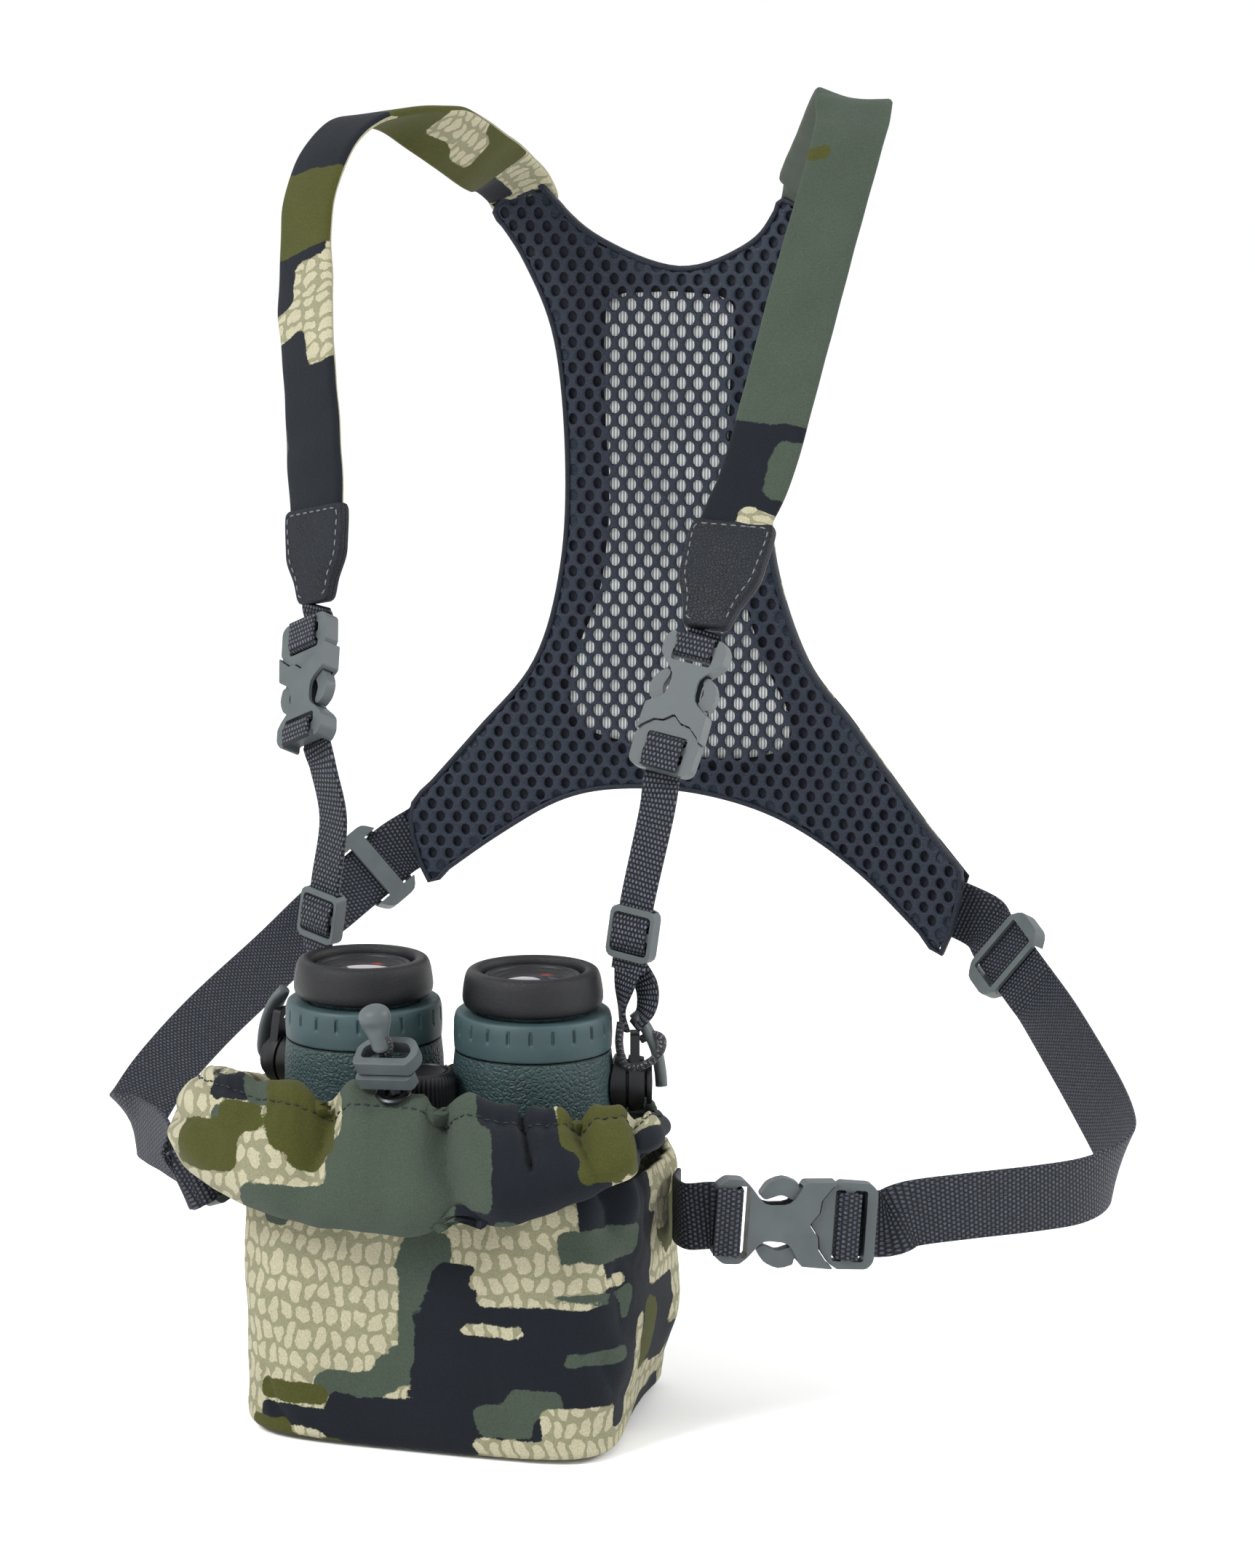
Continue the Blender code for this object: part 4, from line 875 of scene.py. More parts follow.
SHOULDER_ROUTES = {
    "left": [
        (-65.6, 50.9, 272.7, 0.87, -0.46, 0.2), (-66.7, 54.0, 280, 0.87, -0.46, 0.2),
        (-69.8, 60.4, 289.5, 0.86, -0.48, 0.18), (-74.6, 71.5, 305, 0.85, -0.50, 0.14),
        (-83.5, 90, 333, 0.85, -0.52, 0.09), (-88.5, 103, 349, 0.86, -0.51, 0.07),
        (-91.5, 114, 371, 0.83, -0.55, -0.09), (-90, 126, 387, 0.74, -0.65, -0.16),
        (-85, 139, 397, 0.60, -0.79, -0.12), (-76, 153, 399, 0.45, -0.86, 0.22),
        (-66, 173, 394, 0.38, -0.66, 0.65), (-61, 205, 383, 0.50, -0.51, 0.70),
        (-61.3, 228, 377.5, 0.78, -0.34, 0.54), (-60.8, 240.5, 373, 0.80, -0.24, 0.52),
        (-59.9, 247.0, 367.5, 0.84, -0.1, 0.5), (-59.2, 247.6, 363.5, 0.85, 0.0, 0.5),
    ],
    "right": [
        (73.4, 48.5, 273.1, 0.94, -0.26, -0.17), (74.6, 53.2, 280, 0.93, -0.28, -0.17),
        (79.5, 62, 297, 0.95, -0.26, -0.19),
        (86, 88, 345, 0.96, -0.22, -0.17), (91, 114, 386, 0.94, -0.28, -0.20),
        (91.5, 127, 400, 0.95, -0.27, -0.15), (89, 137, 405, 0.94, -0.31, -0.13),
        (83, 150, 401, 0.93, -0.34, -0.15), (66, 190, 385, 0.84, -0.46, -0.20),
        (52, 224, 373, 0.82, -0.34, -0.36), (49, 238, 369.5, 0.82, -0.30, -0.42),
        (46.5, 246.4, 364, 0.84, -0.1, -0.45), (44.5, 247.8, 357, 0.85, 0.0, -0.45),
    ],
}
INNER = 100
HIDDEN_IN_TAB = {"left": 10.0, "right": 7.0}
STRAP_PATCHES = {
    "left": {
        "navy": [
            (-20, 46, -20, 20), (40, 62, -20, 1), (73, 96, -20, -4), (89, 97, -20, 12), (121, 158, -20, 20),
            (236, 262, 80, 98),
        ],
        "olive": [(93, 123, -20, 20), (158, 238, 80, 120), (156, 190, -20, 20)],
        "cream_high": [(180, 204, 98, 120), (200, 214, 94, 108), (238, 280, 98, 120)],
        "green_high": [(18, 30, -20, -11), (200, 240, -20, 20)],
    },
    "right": {
        "green_low": [(28, 400, -20, 20), (90, 400, 80, 120)],
        "navy": [(-20, 32, -20, 20), (30, 60, 80, 120)],
        "green_high": [(9, 27, 4, 20)],
        "cream_high": [(-10, 4, 1, 20), (60, 90, 80, 120)],
        "olive": [(126, 131, -20, -4)],
    },
}
TABS = {
    "left": {"foot": (-63.4, 43.8, 247.4), "head": (-66.1, 52.4, 277.6), "across": (0.87, -0.46, 0.2)},
    "right": {"foot": (70.4, 29.6, 246.4), "head": (73.9, 51.4, 277.2), "across": (0.96, -0.22, -0.17)},
}
TAB_EDGE = [(0, 5.8), (1.2, 7.6), (7, 9.6), (14, 13.2), (20, 13.9), (28, 14.1), (30.8, 13.5), (31.6, 11.5)]
TAB_RINGS = [
    (9, 2.35), (4, 2.3), (2.4, 2.05), (1.6, 2.15), (0.7, 2.0), (0.15, 1.4), (0, 0.6), (0, 0.1), (0.5, 0),
]


def shoulder_strap(name):
    """Padded tape with a crowned face; its two faces carry different patches."""

    def wave(run, y):
        return 0.14 * math.sin(run / 9 + y / 5) + 0.1 * math.sin(run / 3.1)

    strap = sweep(
        f"shoulder_tape_{name}", SHOULDER_ROUTES[name], flat_section(25.0, 2.6, 0.5, 13), "camo_fabric",
        f"shoulder_strap_{name}", steps=14, ripple=wave,
    )
    paint(strap, STRAP_PATCHES[name], hidden=HIDDEN_IN_TAB[name], inner=INNER)


def tab_outline(length, inset=0.0):
    """Half the tab's outline mirrored, as local (along, across) points."""
    half = smooth_curve(TAB_EDGE, 4) * [length / TAB_EDGE[-1][0], 1.0]
    centre = np.array([length / 2, 0.0])
    loop = np.concatenate([half * [1, -1], half[::-1]])
    return loop + inset * (centre - loop) / np.linalg.norm(centre - loop, axis=1, keepdims=True)


def strap_tab(name):
    """A stitched leather tab folded over the strap's end, with rounded edges and a domed face."""
    spec = TABS[name]
    foot, head = Vector(spec["foot"]), Vector(spec["head"])
    length = (head - foot).length
    place = frame_at(foot, head - foot, spec["across"])
    rings = [[(x, y, -z) for x, y in tab_outline(length, inset)] for inset, z in TAB_RINGS]
    rings += [[(x, y, -z) for x, y, z in ring] for ring in reversed(rings)]
    count = len(rings[0])
    points = in_frame(place, [p for ring in rings for p in ring])
    faces = capped(len(rings), count)
    piece(f"leather_tab_{name}", points, faces, "tab_leather", f"strap_tab_{name}", smooth=50)
    line = in_frame(place, [(x, y, -2.1) for x, y in tab_outline(length, 2.4)])
    face = [-c for c in axis_of(place, 2)]
    dashes(f"tab_stitching_{name}", line, [face] * count, "pale_thread", length=2.0, gap=1.3, radius=0.26)


# Webbing, repeated from the frame's own routes

BUCKLE_LENGTH = 43.5
TETHER_W, TETHER_T = 12.0, 1.6
WAIST_W, WAIST_T = 21.0, 1.5
GAP = 0.35
CHEST_BUCKLES = {
    "left": ((-61.1, 30, 223.9), (-0.161, 0.537, 0.828), (0.87, -0.40, 0.29), False),
    "right": ((65.5, 19.5, 224), (0.20, 0.36, 0.91), (0.983, -0.08, -0.163), True),
}
TRIGLIDES = {
    "left": ((-56.0, 26.0, 149.5), (0.164, -0.066, 0.984), (0.92, -0.36, -0.15)),
    "right": ((53.4, 9.2, 153.5), (0.13, 0.03, 0.99), (0.97, -0.22, -0.12)),
}
WAIST_ROUTES = {
    "right": {
        "slider": ((124.5, 229, 105.5), (0.60, -0.66, -0.45), (0.62, 0.02, 0.78)),
        "lead": (98, 240.3, 121),
        "span": (-20, 26),
        "rest": [
            (153, 186, 88.5, 0.68, 0.10, 0.73), (175, 138, 79.5, 0.66, 0.12, 0.73),
            (188, 104, 75, 0.46, 0.24, 0.84), (192.5, 86, 72, 0.28, 0.26, 0.92),
            (192, 71, 70.5, 0.12, 0.22, 0.96), (186.5, 55, 70, 0.02, 0.16, 0.98),
            (175, 40, 70.5, -0.02, 0.08, 0.99), (158, 26, 70.5, -0.02, 0.05, 1.0),
            (141, 17, 69.0, 0.0, 0.06, 1.0),
        ],
    },
    "left": {
        "slider": ((-113, 230, 123.5), (-0.52, -0.68, -0.52), (0.66, 0.06, -0.75)),
        "lead": (-97, 241.8, 136),
        "span": (-12, 30),
        "rest": [
            (-133, 178, 98.5, 0.62, 0.03, -0.78), (-138, 130, 87, 0.74, 0.02, -0.66),
            (-140, 92, 77, 0.84, -0.08, -0.52), (-139.5, 71, 70.5, 0.82, -0.26, -0.50),
            (-136, 55, 68.8, 0.60, -0.50, -0.62), (-126, 42, 69, 0.42, -0.50, -0.75),
            (-113, 26.5, 70, 0.36, -0.36, -0.86), (-102.5, 14, 68.5, 0.38, -0.16, -0.90),
        ],
    },
}


def wrap(edge, slot_side, half_z, thickness, tip, out):
    """Webbing's path round a buckle's bar, from its free tip on the +Z face to where it leaves at -Z."""
    h = half_z + thickness / 2 + GAP
    turn = thickness / 2 + GAP + 0.7
    xs = [tip, edge - slot_side * 3, edge, edge + slot_side * 0.9 * turn, edge + slot_side * turn]
    there = [(x, 0, z) for x, z in zip(xs, (h, h, h + 0.1, h * 0.75, 0))]
    back = [(x, 0, -z) for x, _, z in there[-2:0:-1]]
    return there + back + [(out, 0, -h)]


def chest_place(name):
    centre, up, across, socket_up = CHEST_BUCKLES[name]
    sign = 1 if socket_up else -1
    along = unit(up) * sign
    return frame_at(np.array(centre) - along * BUCKLE_LENGTH / 2, along, np.array(across) * -sign)


def waist_place(name):
    if name == "right":
        return frame_at((131, 9, 66.5), (-46, -21, 4), (-0.03, -0.10, -1))
    return frame_at((-94, 8, 66), (0.30, 0.93, 0.26), (0.41, 0.13, -0.90))


def straight(origin, along, across, places):
    """A straight stretch of tape: points at so many millimetres from its origin."""
    return cross_route([np.array(origin) + unit(along) * t for t in places], across)


def tab_tape(name):
    """The short tape sewn under the leather tab, round the buckle's top bar."""
    spec = TABS[name]
    foot, head = np.array(spec["foot"]), np.array(spec["head"])
    across = np.array(spec["across"])
    if name == "right":
        route, across = wrap(38.6, -1, 3.5, 1.1, 43.4, 42.0), -across
    else:
        route = wrap(8.6, 1, 2.6, 1.1, 0.5, -1.4)
    route = placed_route(chest_place(name), route) + straight(foot, foot - head, across, [0.6])
    sweep(f"tab_tape_{name}", route, flat_section(TETHER_W, 1.2), "webbing", f"tab_webbing_{name}", steps=6)


def tether_tape(name):
    """From the chest buckle's lower bar down through the triglide."""
    centre, along, across = TRIGLIDES[name]
    if name == "left":
        route = wrap(38.6, -1, 3.5, TETHER_T, 43.6, 42.5)
        middle = [(-52.8, 21, 197.5, 0.87, -0.44, 0.18), (-50.9, 24, 181, 0.88, -0.42, 0.12)]
    else:
        route = wrap(8.6, 1, 2.6, TETHER_T, 0.5, -1.5)
        middle = [(60.2, 11.2, 191, -0.98, 0.14, 0.10)]
        across = -np.array(across)
    route = placed_route(chest_place(name), route) + middle + straight(
        centre, along, unit(across), (12, 4, -4, -12)
    )
    section = flat_section(TETHER_W, TETHER_T)
    sweep(f"tether_tape_{name}", route, section, "webbing", f"tether_webbing_{name}", steps=6)


def triglide_patch(name):
    """The turn of webbing that shows over a triglide's middle bar."""
    reach, height = 5.9, 3.3
    route = [(f * reach, 0, z) for f, z in ((-1, -0.9), (-0.62, -height * 0.8), (0, -height))]
    route += [(-x, y, z) for x, y, z in route[1::-1]]
    route = placed_route(frame_at(*TRIGLIDES[name]), route)
    sweep(
        f"triglide_patch_{name}", route, flat_section(TETHER_W, 1.1), "webbing", body=f"triglide_{name}_body"
    )


def waist_tape(name):
    """From the panel through the slide, round the waist and into the waist buckle."""
    spec = WAIST_ROUTES[name]
    origin, along, across = spec["slider"]
    start = [(*spec["lead"], *across)] + straight(origin, along, across, np.linspace(*spec["span"], 6))
    place = waist_place(name)
    if name == "right":
        turn = wrap(9.9, 1, 3.15, WAIST_T, 5.4, -4.5)[::-1]
    else:
        turn = [(-4.6, 0, 3.4), (-4.2, 0, -1.0), (-1.8, 0, -4.2)]
        turn += wrap(9.9, 1, 3.15, WAIST_T, 5.4, 4.0)[-2::-1]
    side = np.array(axis_of(place, 1))
    flip = -1 if side @ np.array(spec["rest"][-1][3:]) < 0 else 1
    route = start + spec["rest"] + cross_route(in_frame(place, turn), side * flip)
    section = flat_section(WAIST_W, WAIST_T)
    sweep(f"waist_tape_{name}", route, section, "waist_tape", f"waist_webbing_{name}", steps=6)


def side_tape(name):
    """From the waist buckle to the pouch's side seam."""
    route = wrap(44.4, -1, 4.2, WAIST_T, 50.5, 50.8)
    if name == "left":
        route.append((55.5, 0, -8.0))
        anchors = [
            (-64, 53, 79.5, 0.35, 0.1, -0.93), (-55, 48.5, 76.5, 0.2, 0, -0.98), (-44, 46.6, 75, 0.1, 0, -1),
        ]
    else:
        anchors = cross_route([(75.5, -7.5, 69.3), (68.8, 3, 68.5), (66.8, 14, 68)], (0, 0, -1))
    route = placed_route(waist_place(name), route) + anchors
    section = flat_section(WAIST_W, WAIST_T)
    sweep(f"side_tape_{name}", route, section, "waist_tape", f"pouch_side_webbing_{name}", steps=6)


# Below each triglide the tape splits into a twisted loop, whose cord goes round the lug's hook.
TETHER_ENDS = {
    "tether_end_right": [
        (51.9, 8.8, 143.0, 0.97, -0.22, -0.12), (50.6, 8.4, 136, 0.80, -0.58, -0.1),
        (50.0, 8.2, 129, 0.45, -0.88, 0.0), (51.0, 8.4, 122.5, 0.62, -0.78, 0.1),
    ],
    "tether_loop_right": [
        (53.0, 10.2, 143.6, 0.97, -0.22, -0.12), (57.2, 10.6, 137, 0.93, -0.3, 0.1),
        (57.4, 10.0, 130, 0.90, -0.3, 0.3), (53.8, 9.2, 124, 0.80, -0.4, 0.4),
    ],
    "tether_end_left": [
        (-57.6, 26.8, 139.0, 0.92, -0.36, -0.15), (-58.6, 25.0, 131, 0.80, -0.58, -0.1),
        (-60.0, 21.0, 124, 0.60, -0.78, 0.0), (-61.6, 17.8, 119, 0.62, -0.78, 0.1),
    ],
}
LUG_CORDS = {
    "right": [
        (50.5, 5.5, 126), (50.2, 4.8, 119), (52.0, 5.0, 112.5), (56.0, 6.0, 112.0), (60.0, 7.0, 114.0),
        (62.6, 8.4, 117.2), (62.4, 10.2, 120.4), (59.2, 11.0, 121.4), (55.4, 10.6, 119.6),
    ],
    "left": [
        (-62.0, 15.0, 124), (-63.4, 14.6, 117), (-65.8, 15.2, 111), (-68.4, 16.8, 112), (-68.0, 18.6, 117)
    ],
}


def tether_ends():
    for name, route in TETHER_ENDS.items():
        sweep(name, route, flat_section(10.0, 1.3), "webbing", taper=lambda f: 1.0 - 0.35 * f)
    for name, route in LUG_CORDS.items():
        route = cross_route(route, (0.2, -0.95, 0.1))
        sweep(f"lug_cord_{name}", route, round_section(1.3, 1.3, 12), "elastic_cord")


def lug_place(side):
    """Local Z runs outwards from the barrel through the lug, and local X runs down."""
    tilt = math.radians(17)
    out = Vector((side * math.cos(tilt), math.sin(tilt), 0))
    down = Vector((0, 0, -1))
    placed = Matrix((down, out.cross(down), out)).transposed().to_4x4()
    placed.translation = Vector((-5.0 + side * 28.0, 2.0, 105.5)) * MM
    return placed



def tether_hook(name):
    """The curved, thick-edged hook that clips the tether's end to the lug."""
    route = [(-22.5, 0, 31.5), (-17.5, 0, 35.2), (-11.0, 0, 38.2), (-4.0, 0, 39.6), (1.0, 0, 40.0)]
    route = placed_route(lug_place(SIDES[name]), route)

    def ends(f):
        return math.sqrt(max(0.12, 1 - abs(2 * f - 1) ** 5))

    sweep(
        f"hook_{name}", route, round_section(4.1, 1.9, 20), "grey_hardware", f"tether_hook_{name}", taper=ends
    )


LOCK_PLACE = frame_at((-7.4, -43.8, 120.0), (0.99, -0.05, 0.06), (0.02, 0.80, 0.60))


def drawcord():
    """Two strands of the elastic, up out of the eyelet, through the lock and round into the knob."""
    for name, x, side in (("a", -2.9, -1), ("b", -0.3, 1)):
        route = [
            (x + 0.3 * side, 0.6, -6.5), (x, 1.2, -2.0), (x - 0.1, 1.9, 2.0), (x + 1.0 * side, 2.6, 5.0),
            (x + 1.1 * side, 2.9, 8.0), (x - 0.2 * side, 2.4, 10.6),
        ]
        route = cross_route(in_frame(LOCK_PLACE, route), (1, 0, 0))
        sweep(f"draw_strand_{name}", route, round_section(0.95, 0.95, 12), "elastic_cord", "drawcord")


KNOB_PROFILE = [
    (0.02, 0), (1.8, 0.1), (2.6, 0.9), (2.8, 2.6), (3.2, 5.0), (4.1, 7.6), (4.7, 9.6), (4.9, 11.4),
    (4.4, 13.2),
    (3.0, 14.4), (1.4, 14.9), (0.02, 15.0),
]


def cord_knob():
    """The teardrop pull that the cord's loop runs into, with a finger dish in its front."""
    base = in_frame(LOCK_PLACE, [(-1.9, 1.2, 4.6)])[0]
    place = frame_at(base, (0.99, 0.02, 0.12), (0.0, 0.97, 0.2))

    def dish(angle, r, z):
        front = math.exp(-((math.remainder(angle + math.pi / 2, 2 * math.pi) / 0.75) ** 2))
        return r * (1 - 0.3 * front * math.exp(-(((z - 8.2) / 2.4) ** 2)))

    lathe("cord_pull", smooth_curve(KNOB_PROFILE, 4), "grey_hardware", place, 72, "cord_knob", warp=dish)


# The back panel

PANEL_Y = 248.0
PANEL_FRONT = -3.2
PANEL_RUNS = [
    [(-55, 375), (-34, 355.5), (-2, 344), (25, 353.5), (37, 369)],
    [(37, 369), (54, 361)],
    [(54, 361), (44, 335), (36, 305), (32, 272), (34, 239), (46, 205), (64, 183), (90, 151), (108, 131)],
    [(108, 131), (99, 103)],
    [(99, 103), (68, 130), (39, 147), (9, 155), (-21, 156), (-45, 151), (-69, 137), (-95, 118)],
    [(-95, 118), (-104, 143)],
    [(-104, 143), (-77, 174), (-55, 201), (-45, 236), (-43, 276), (-47, 318), (-58, 346), (-71, 365.5)],
    [(-71, 365.5), (-55, 375)],
]
INSERT_LEFT = [
    (-22, 335), (-28.5, 330), (-29.5, 300), (-27.5, 262), (-31, 228), (-39, 207), (-43, 190),
    (-38, 178), (-24, 173),
]
INSERT_RIGHT = [
    (6, 168), (26, 169), (39, 174), (40, 186), (31, 204), (22, 232), (17, 275), (18, 312),
    (19, 330), (13, 335),
]
CELL_WIDE, CELL_ROW, CELL_TALL, CELL_SHORT = 6.2, 4.6, 3.05, 1.55
CELL_POINTS = 12
SHEET_STEP = 6.0


def panel_outline():
    runs = [smooth_curve(run, 8 if len(run) > 2 else 3)[:-1] for run in PANEL_RUNS]
    return np.concatenate(runs)


def insert_outline():
    return np.concatenate([smooth_curve(INSERT_LEFT + INSERT_RIGHT, 4), [(-4, 336)]])


def polygon_reach(points, loop):
    """Signed distance to a closed polygon, negative inside, and the nearest point on it."""
    points = np.asarray(points, float)
    best = np.full(len(points), 1e9)
    near = np.zeros((len(points), 2))
    inside = np.zeros(len(points), bool)
    for a, b in zip(loop, np.roll(loop, -1, 0)):
        run = b - a
        f = np.clip(((points - a) @ run) / max(run @ run, 1e-9), 0, 1)
        foot = a + f[:, None] * run
        reach = np.linalg.norm(points - foot, axis=1)
        near[reach < best] = foot[reach < best]
        best = np.minimum(best, reach)
        crosses = (a[1] > points[:, 1]) != (b[1] > points[:, 1])
        at = a[0] + (points[:, 1] - a[1]) * run[0] / (run[1] if abs(run[1]) > 1e-9 else 1e-9)
        inside ^= crosses & (points[:, 0] < at)
    return np.where(inside, -best, best), near


def on_panel(x, z, depth):
    """The point at a depth behind the panel's front, which bows so that its wings come forwards."""
    bow = 10 * ((x + 3) / 105) ** 2
    return np.stack([x, PANEL_Y - bow + PANEL_FRONT + depth, z], -1)


def cell_shapes():
    """A cell's hexagonal rim and its oval hole, point for point."""
    half, tall, short = CELL_WIDE / 2, CELL_TALL, CELL_SHORT
    corners = np.array(
        [(0, tall), (half, short), (half, -short), (0, -tall), (-half, -short), (-half, short)]
    )
    rim = np.stack([corners, (corners + np.roll(corners, -1, 0)) / 2], 1).reshape(-1, 2)
    turn = np.arctan2(rim[:, 1], rim[:, 0])
    return rim, np.stack([1.95 * np.cos(turn), 2.45 * np.sin(turn)], 1)


def spacer_mesh():
    """The knitted face with a real hole in each cell, raised round the stiffener and thin at its edge."""
    loop, core = panel_outline(), insert_outline()
    rim, oval = cell_shapes()
    centres = []
    for j in range(int(275 / CELL_ROW) + 2):
        for i in range(int(215 / CELL_WIDE) + 2):
            centres.append((-106 + CELL_WIDE * (i + 0.5 * (j % 2)), 101 + CELL_ROW * j))
    centres = np.array(centres)
    reach, _ = polygon_reach(centres, loop)
    centres, reach = centres[reach < 1.2], reach[reach < 1.2]
    core_reach, _ = polygon_reach(centres, core)
    points, depths, faces = [], [], []
    for centre, edge, deep in zip(centres, reach, core_reach):
        base = len(points)
        hole = oval * (1.0 if deep < 0 else 0.86)
        shapes = [(rim, 0.0), (rim * 0.45 + hole * 0.55, -0.12), (hole, 0.3), (hole * 0.95, 0.7)]
        if edge < -2.6:
            shapes.append((hole * 0.98, 1.0 if deep < 0 else 1.7))
        else:
            faces.append(tuple(base + 3 * CELL_POINTS + k for k in range(CELL_POINTS)))
        for shape, depth in shapes:
            points += (centre + shape).tolist()
            depths += [depth] * CELL_POINTS
        faces += [tuple(base + q for q in quad) for quad in grid_faces(len(shapes), CELL_POINTS)]
    points, depths = np.array(points), np.array(depths)
    reach, near = polygon_reach(points, loop)
    points = np.where((reach > -0.4)[:, None], near, points)
    ridge, _ = polygon_reach(points, core)
    x, z = points.T
    depths = depths - 0.9 * np.exp(-(((ridge - 1.5) / 1.7) ** 2)) + 1.3 * np.exp(-np.abs(reach) / 1.6)
    depths += 0.5 * waves(x, z, 22, 4.0)
    lay = np.stack([x, z, depths], 1)
    world = on_panel(x, z, depths)
    mesh = piece("panel_spacer_mesh", world, faces, "spacer_mesh", "back_panel_mesh", lay=lay, smooth=75)


def panel_sheet(name, loop, low, high, look, node=None, belly=0.0):
    """A sheet that follows the panel's bow, filled with a fine grid inside its outline."""
    bm = bmesh.new()
    bm.faces.new([bm.verts.new((x, z, 0)) for x, z in loop])
    for across, first, last in ((Vector((1, 0, 0)), -110, 112), (Vector((0, 1, 0)), 100, 380)):
        for k in np.arange(first, last, SHEET_STEP):
            everything = bm.verts[:] + bm.edges[:] + bm.faces[:]
            bmesh.ops.bisect_plane(bm, geom=everything, plane_co=across * k, plane_no=across)
    bm.verts.index_update()
    flat = np.array([v.co[:2] for v in bm.verts])
    faces = [tuple(v.index for v in f.verts) for f in bm.faces]
    bm.free()
    reach, _ = polygon_reach(flat, loop)
    x, z = flat.T
    swell = belly * (1 - np.exp(-np.abs(reach) / 5)) + 0.3 * waves(x, z, 30, 7.0)
    lay = np.stack([x, z, np.zeros(len(flat))], 1)
    sheet = piece(name, on_panel(x, z, high + swell), faces, look, node, lay=lay)
    thicken(sheet, high - low, -1 if high > 3 else 1)
    return sheet


def back_panel():
    loop = panel_outline()
    spacer_mesh()
    panel_sheet("panel_lining", loop * [0.985, 1], 1.6, 2.2, "spacer_back")
    insert = panel_sheet("panel_stiffener", insert_outline(), 0.9, 1.2, "pad_insert", "back_panel_insert")
    cover = panel_sheet("panel_cover", loop, 6.4, 7.4, "camo_fabric", "back_panel_cover", belly=1.6)
    paint(cover, scattered(-120, 120, 95, 385))
    rim = [on_panel(x, z, 1.9) for x, z in loop[::2]]
    route = cross_route(rim + rim[:2], (0, 1, 0))
    sweep("panel_binding", route, flat_section(4.0, 1.6, 0.2, 5), "spacer_back", steps=2)


# The binocular

BARREL_X = {"left": -33.0, "right": 23.0}
BARREL_Y = 2.0
NOTCHES = 22
RIBS = 44
RING_PROFILE = [
    (18.2, 129), (23.9, 129), (24.6, 126.5), (24.7, 121), (24.5, 117.4), (23.6, 117.15), (18.2, 117.15),
]
EYECUP_FOOT = (16.0, 130.4)
EYECUP_CURVE = [
    (20.3, 130.4), (21.2, 130.9), (21.8, 132.3), (21.9, 134.2), (21.5, 137.6), (21.0, 140.0), (20.3, 141.5),
    (19.2, 142.2), (17.9, 142.3), (16.9, 142.0), (16.3, 141.2), (16.05, 140), (16.0, 137), (16.0, 133),
]
RETAINER_PROFILE = [
    (15.5, 130.0), (15.5, 139.2), (15.1, 140.0), (14.3, 140.2), (13.6, 139.9), (13.2, 139.3), (12.3, 139.2),
    (11.9, 138.9), (11.6, 138.6), (10.8, 138.4), (10.8, 137.0), (13.0, 136.6), (13.0, 130.0),
]
JOINT_PROFILE = [(24.0, 117.0), (24.35, 117.0), (24.4, 116.85), (24.0, 116.85)]
WHEEL_PROFILE = [
    (3.4, 105.9), (3.4, 98.6), (9.4, 98.6), (10.2, 99.4), (10.4, 100.4), (10.4, 110.4), (10.1, 111.6),
    (9.6, 112.6), (9.0, 113.2), (8.2, 113.3), (7.9, 112.7), (7.5, 112.6), (7.1, 113.1), (0.02, 113.2),
    (0.02, 105.9),
]


def notch(angle, r, z):
    """Upright oval notches round the upper half of the twist ring."""
    across = ((angle * NOTCHES / (2 * math.pi)) % 1 - 0.5) * 2 * math.pi * 24.5 / NOTCHES
    reach = math.hypot(across / 0.62, max(0.0, abs(z - 124.9) - 1.5) / 0.7)
    return r - (0.85 * max(0.0, 1 - reach**2.5) if r > 22 else 0.0)


def rib(angle, r, z):
    """Ribs round the focus wheel's grip."""
    if r < 10 or not 99.2 < z < 112:
        return r
    return r - 0.42 * (0.5 + 0.5 * math.cos(angle * RIBS)) ** 2


def eyepiece(name):
    """A barrel's twist ring, soft cup, coated lens and retaining ring, and the joint line under them."""
    place = shift(BARREL_X[name], BARREL_Y, 0)
    rows = split_rows(rounded(RING_PROFILE, 0.9), 0.55)
    body = f"ocular_ring_{name}_body"
    lathe(f"twist_ring_{name}", rows, "smooth_armour", place, 330, f"ocular_ring_{name}", body, notch)
    curve = [EYECUP_FOOT] + smooth_curve(EYECUP_CURVE, 4).tolist()
    lathe(f"eyecup_rubber_{name}", curve, "black_rubber", place, 120, f"eyecup_{name}", f"eyecup_{name}_body")
    eye_lens(name, place)
    lathe(f"eye_retainer_{name}", rounded(RETAINER_PROFILE, 0.2, 2), "black_plastic", place)
    lathe(f"barrel_joint_{name}", JOINT_PROFILE, "black_plastic", place)


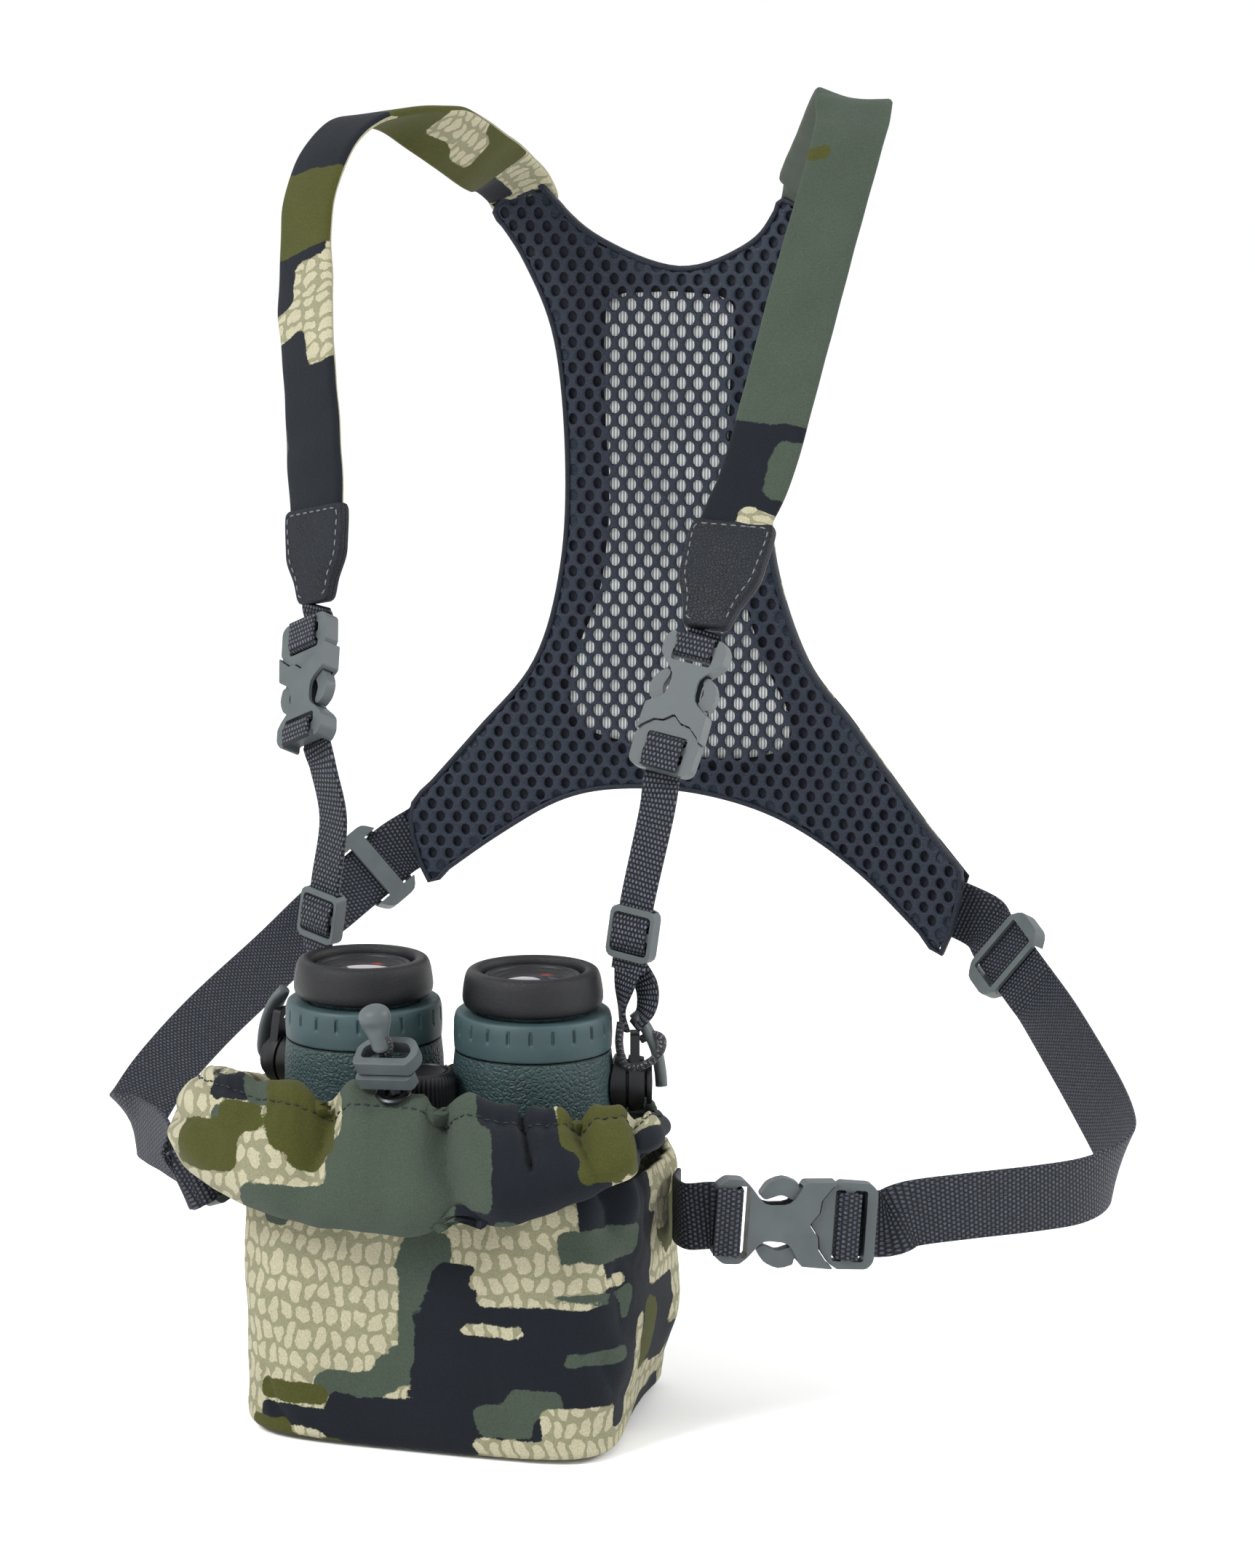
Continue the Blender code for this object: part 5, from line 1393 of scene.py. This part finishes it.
def eye_lens(name, place):
    """A low dome that keeps each point's share of its radius, and how near it is to the painted warm
    reflection.
    """
    radius, count = 10.9, 64
    shares = np.linspace(1, 0.001, 14)
    turns = np.arange(count) * 2 * math.pi / count
    dome = [
        (radius * f * math.cos(a), radius * f * math.sin(a), 139.3 - 1.0 * f * f)
        for f in shares for a in turns
    ]
    faces = grid_faces(len(shares), count)
    glass = piece(f"eye_lens_{name}", in_frame(place, dome), faces, "lens_glass", f"eyepiece_lens_{name}")
    x, y, _ = read_points(glass.data.vertices, "co").T / MM
    x, y = x - BARREL_X[name], y - BARREL_Y
    store(glass.data, "radius", np.hypot(x, y) / radius)
    # How near each point is to the painted warm reflection.
    store(glass.data, "painted_gleam", np.clip(1.5 - np.hypot((x - 2.6) / 1.5, (y - 5.6) / 1.9), 0, 1))


def focus_wheel():
    """The ribbed wheel with a turned groove in its flat top."""
    rows = split_rows(WHEEL_PROFILE, 1.0)
    place = shift(-5.0, -22.0, 0)
    lathe(
        "focus_wheel_ribbed", rows, "black_plastic", place, 8 * RIBS, "focus_wheel", "focus_wheel_body", rib
    )


# CAD nodes that keep their shape

def dress(node, look, width):
    """Gives a CAD node its material and softens its edges by a width."""
    obj = NODES[node]
    mesh = obj.data
    mesh.materials.clear()
    mesh.materials.append(LOOKS[look])
    normals = mesh.attributes.get("custom_normal")
    if normals:
        mesh.attributes.remove(normals)
    mesh.shade_smooth()
    weld = obj.modifiers.new("weld", "WELD")
    weld.merge_threshold = 0.00001
    if width:
        edge = obj.modifiers.new("edges", "BEVEL")
        edge.width = width * MM
        edge.segments = 3
        edge.limit_method = "ANGLE"
        edge.angle_limit = math.radians(35)
    shade = obj.modifiers.new("shade", "WEIGHTED_NORMAL")
    shade.weight = 80


def dress_nodes():
    for node in NODES:
        if "_buckle_" in node or "slider" in node:
            dress(node, "grey_hardware", 0.6)
    for node in ("cord_lock_body", "cord_lock_jaw"):
        dress(node, "grey_hardware", 0.7)
    for side in SIDES:
        dress(f"triglide_{side}", "grey_hardware", 0.5)
        dress(f"barrel_{side}", "armour", 0.5)
        dress(f"lug_connector_{side}", "black_plastic", 0.4)
        dress(f"prism_{side}", "prism_glass", 0.3)
        dress(f"objective_lens_{side}", "prism_glass", 0)
    dress("bridge", "black_plastic", 0.8)
    dress("grommet", "grommet_metal", 0.2)


ONCE = (
    camera, studio, dress_nodes, pouch_body, pouch_collar, back_panel, focus_wheel, drawcord,
    cord_knob, tether_ends,
)
EACH_SIDE = (
    shoulder_strap, strap_tab, tab_tape, tether_tape, waist_tape, side_tape, tether_hook, eyepiece,
    triglide_patch,
)
for make in ONCE:
    make()
for name in SIDES:
    for make in EACH_SIDE:
        make(name)
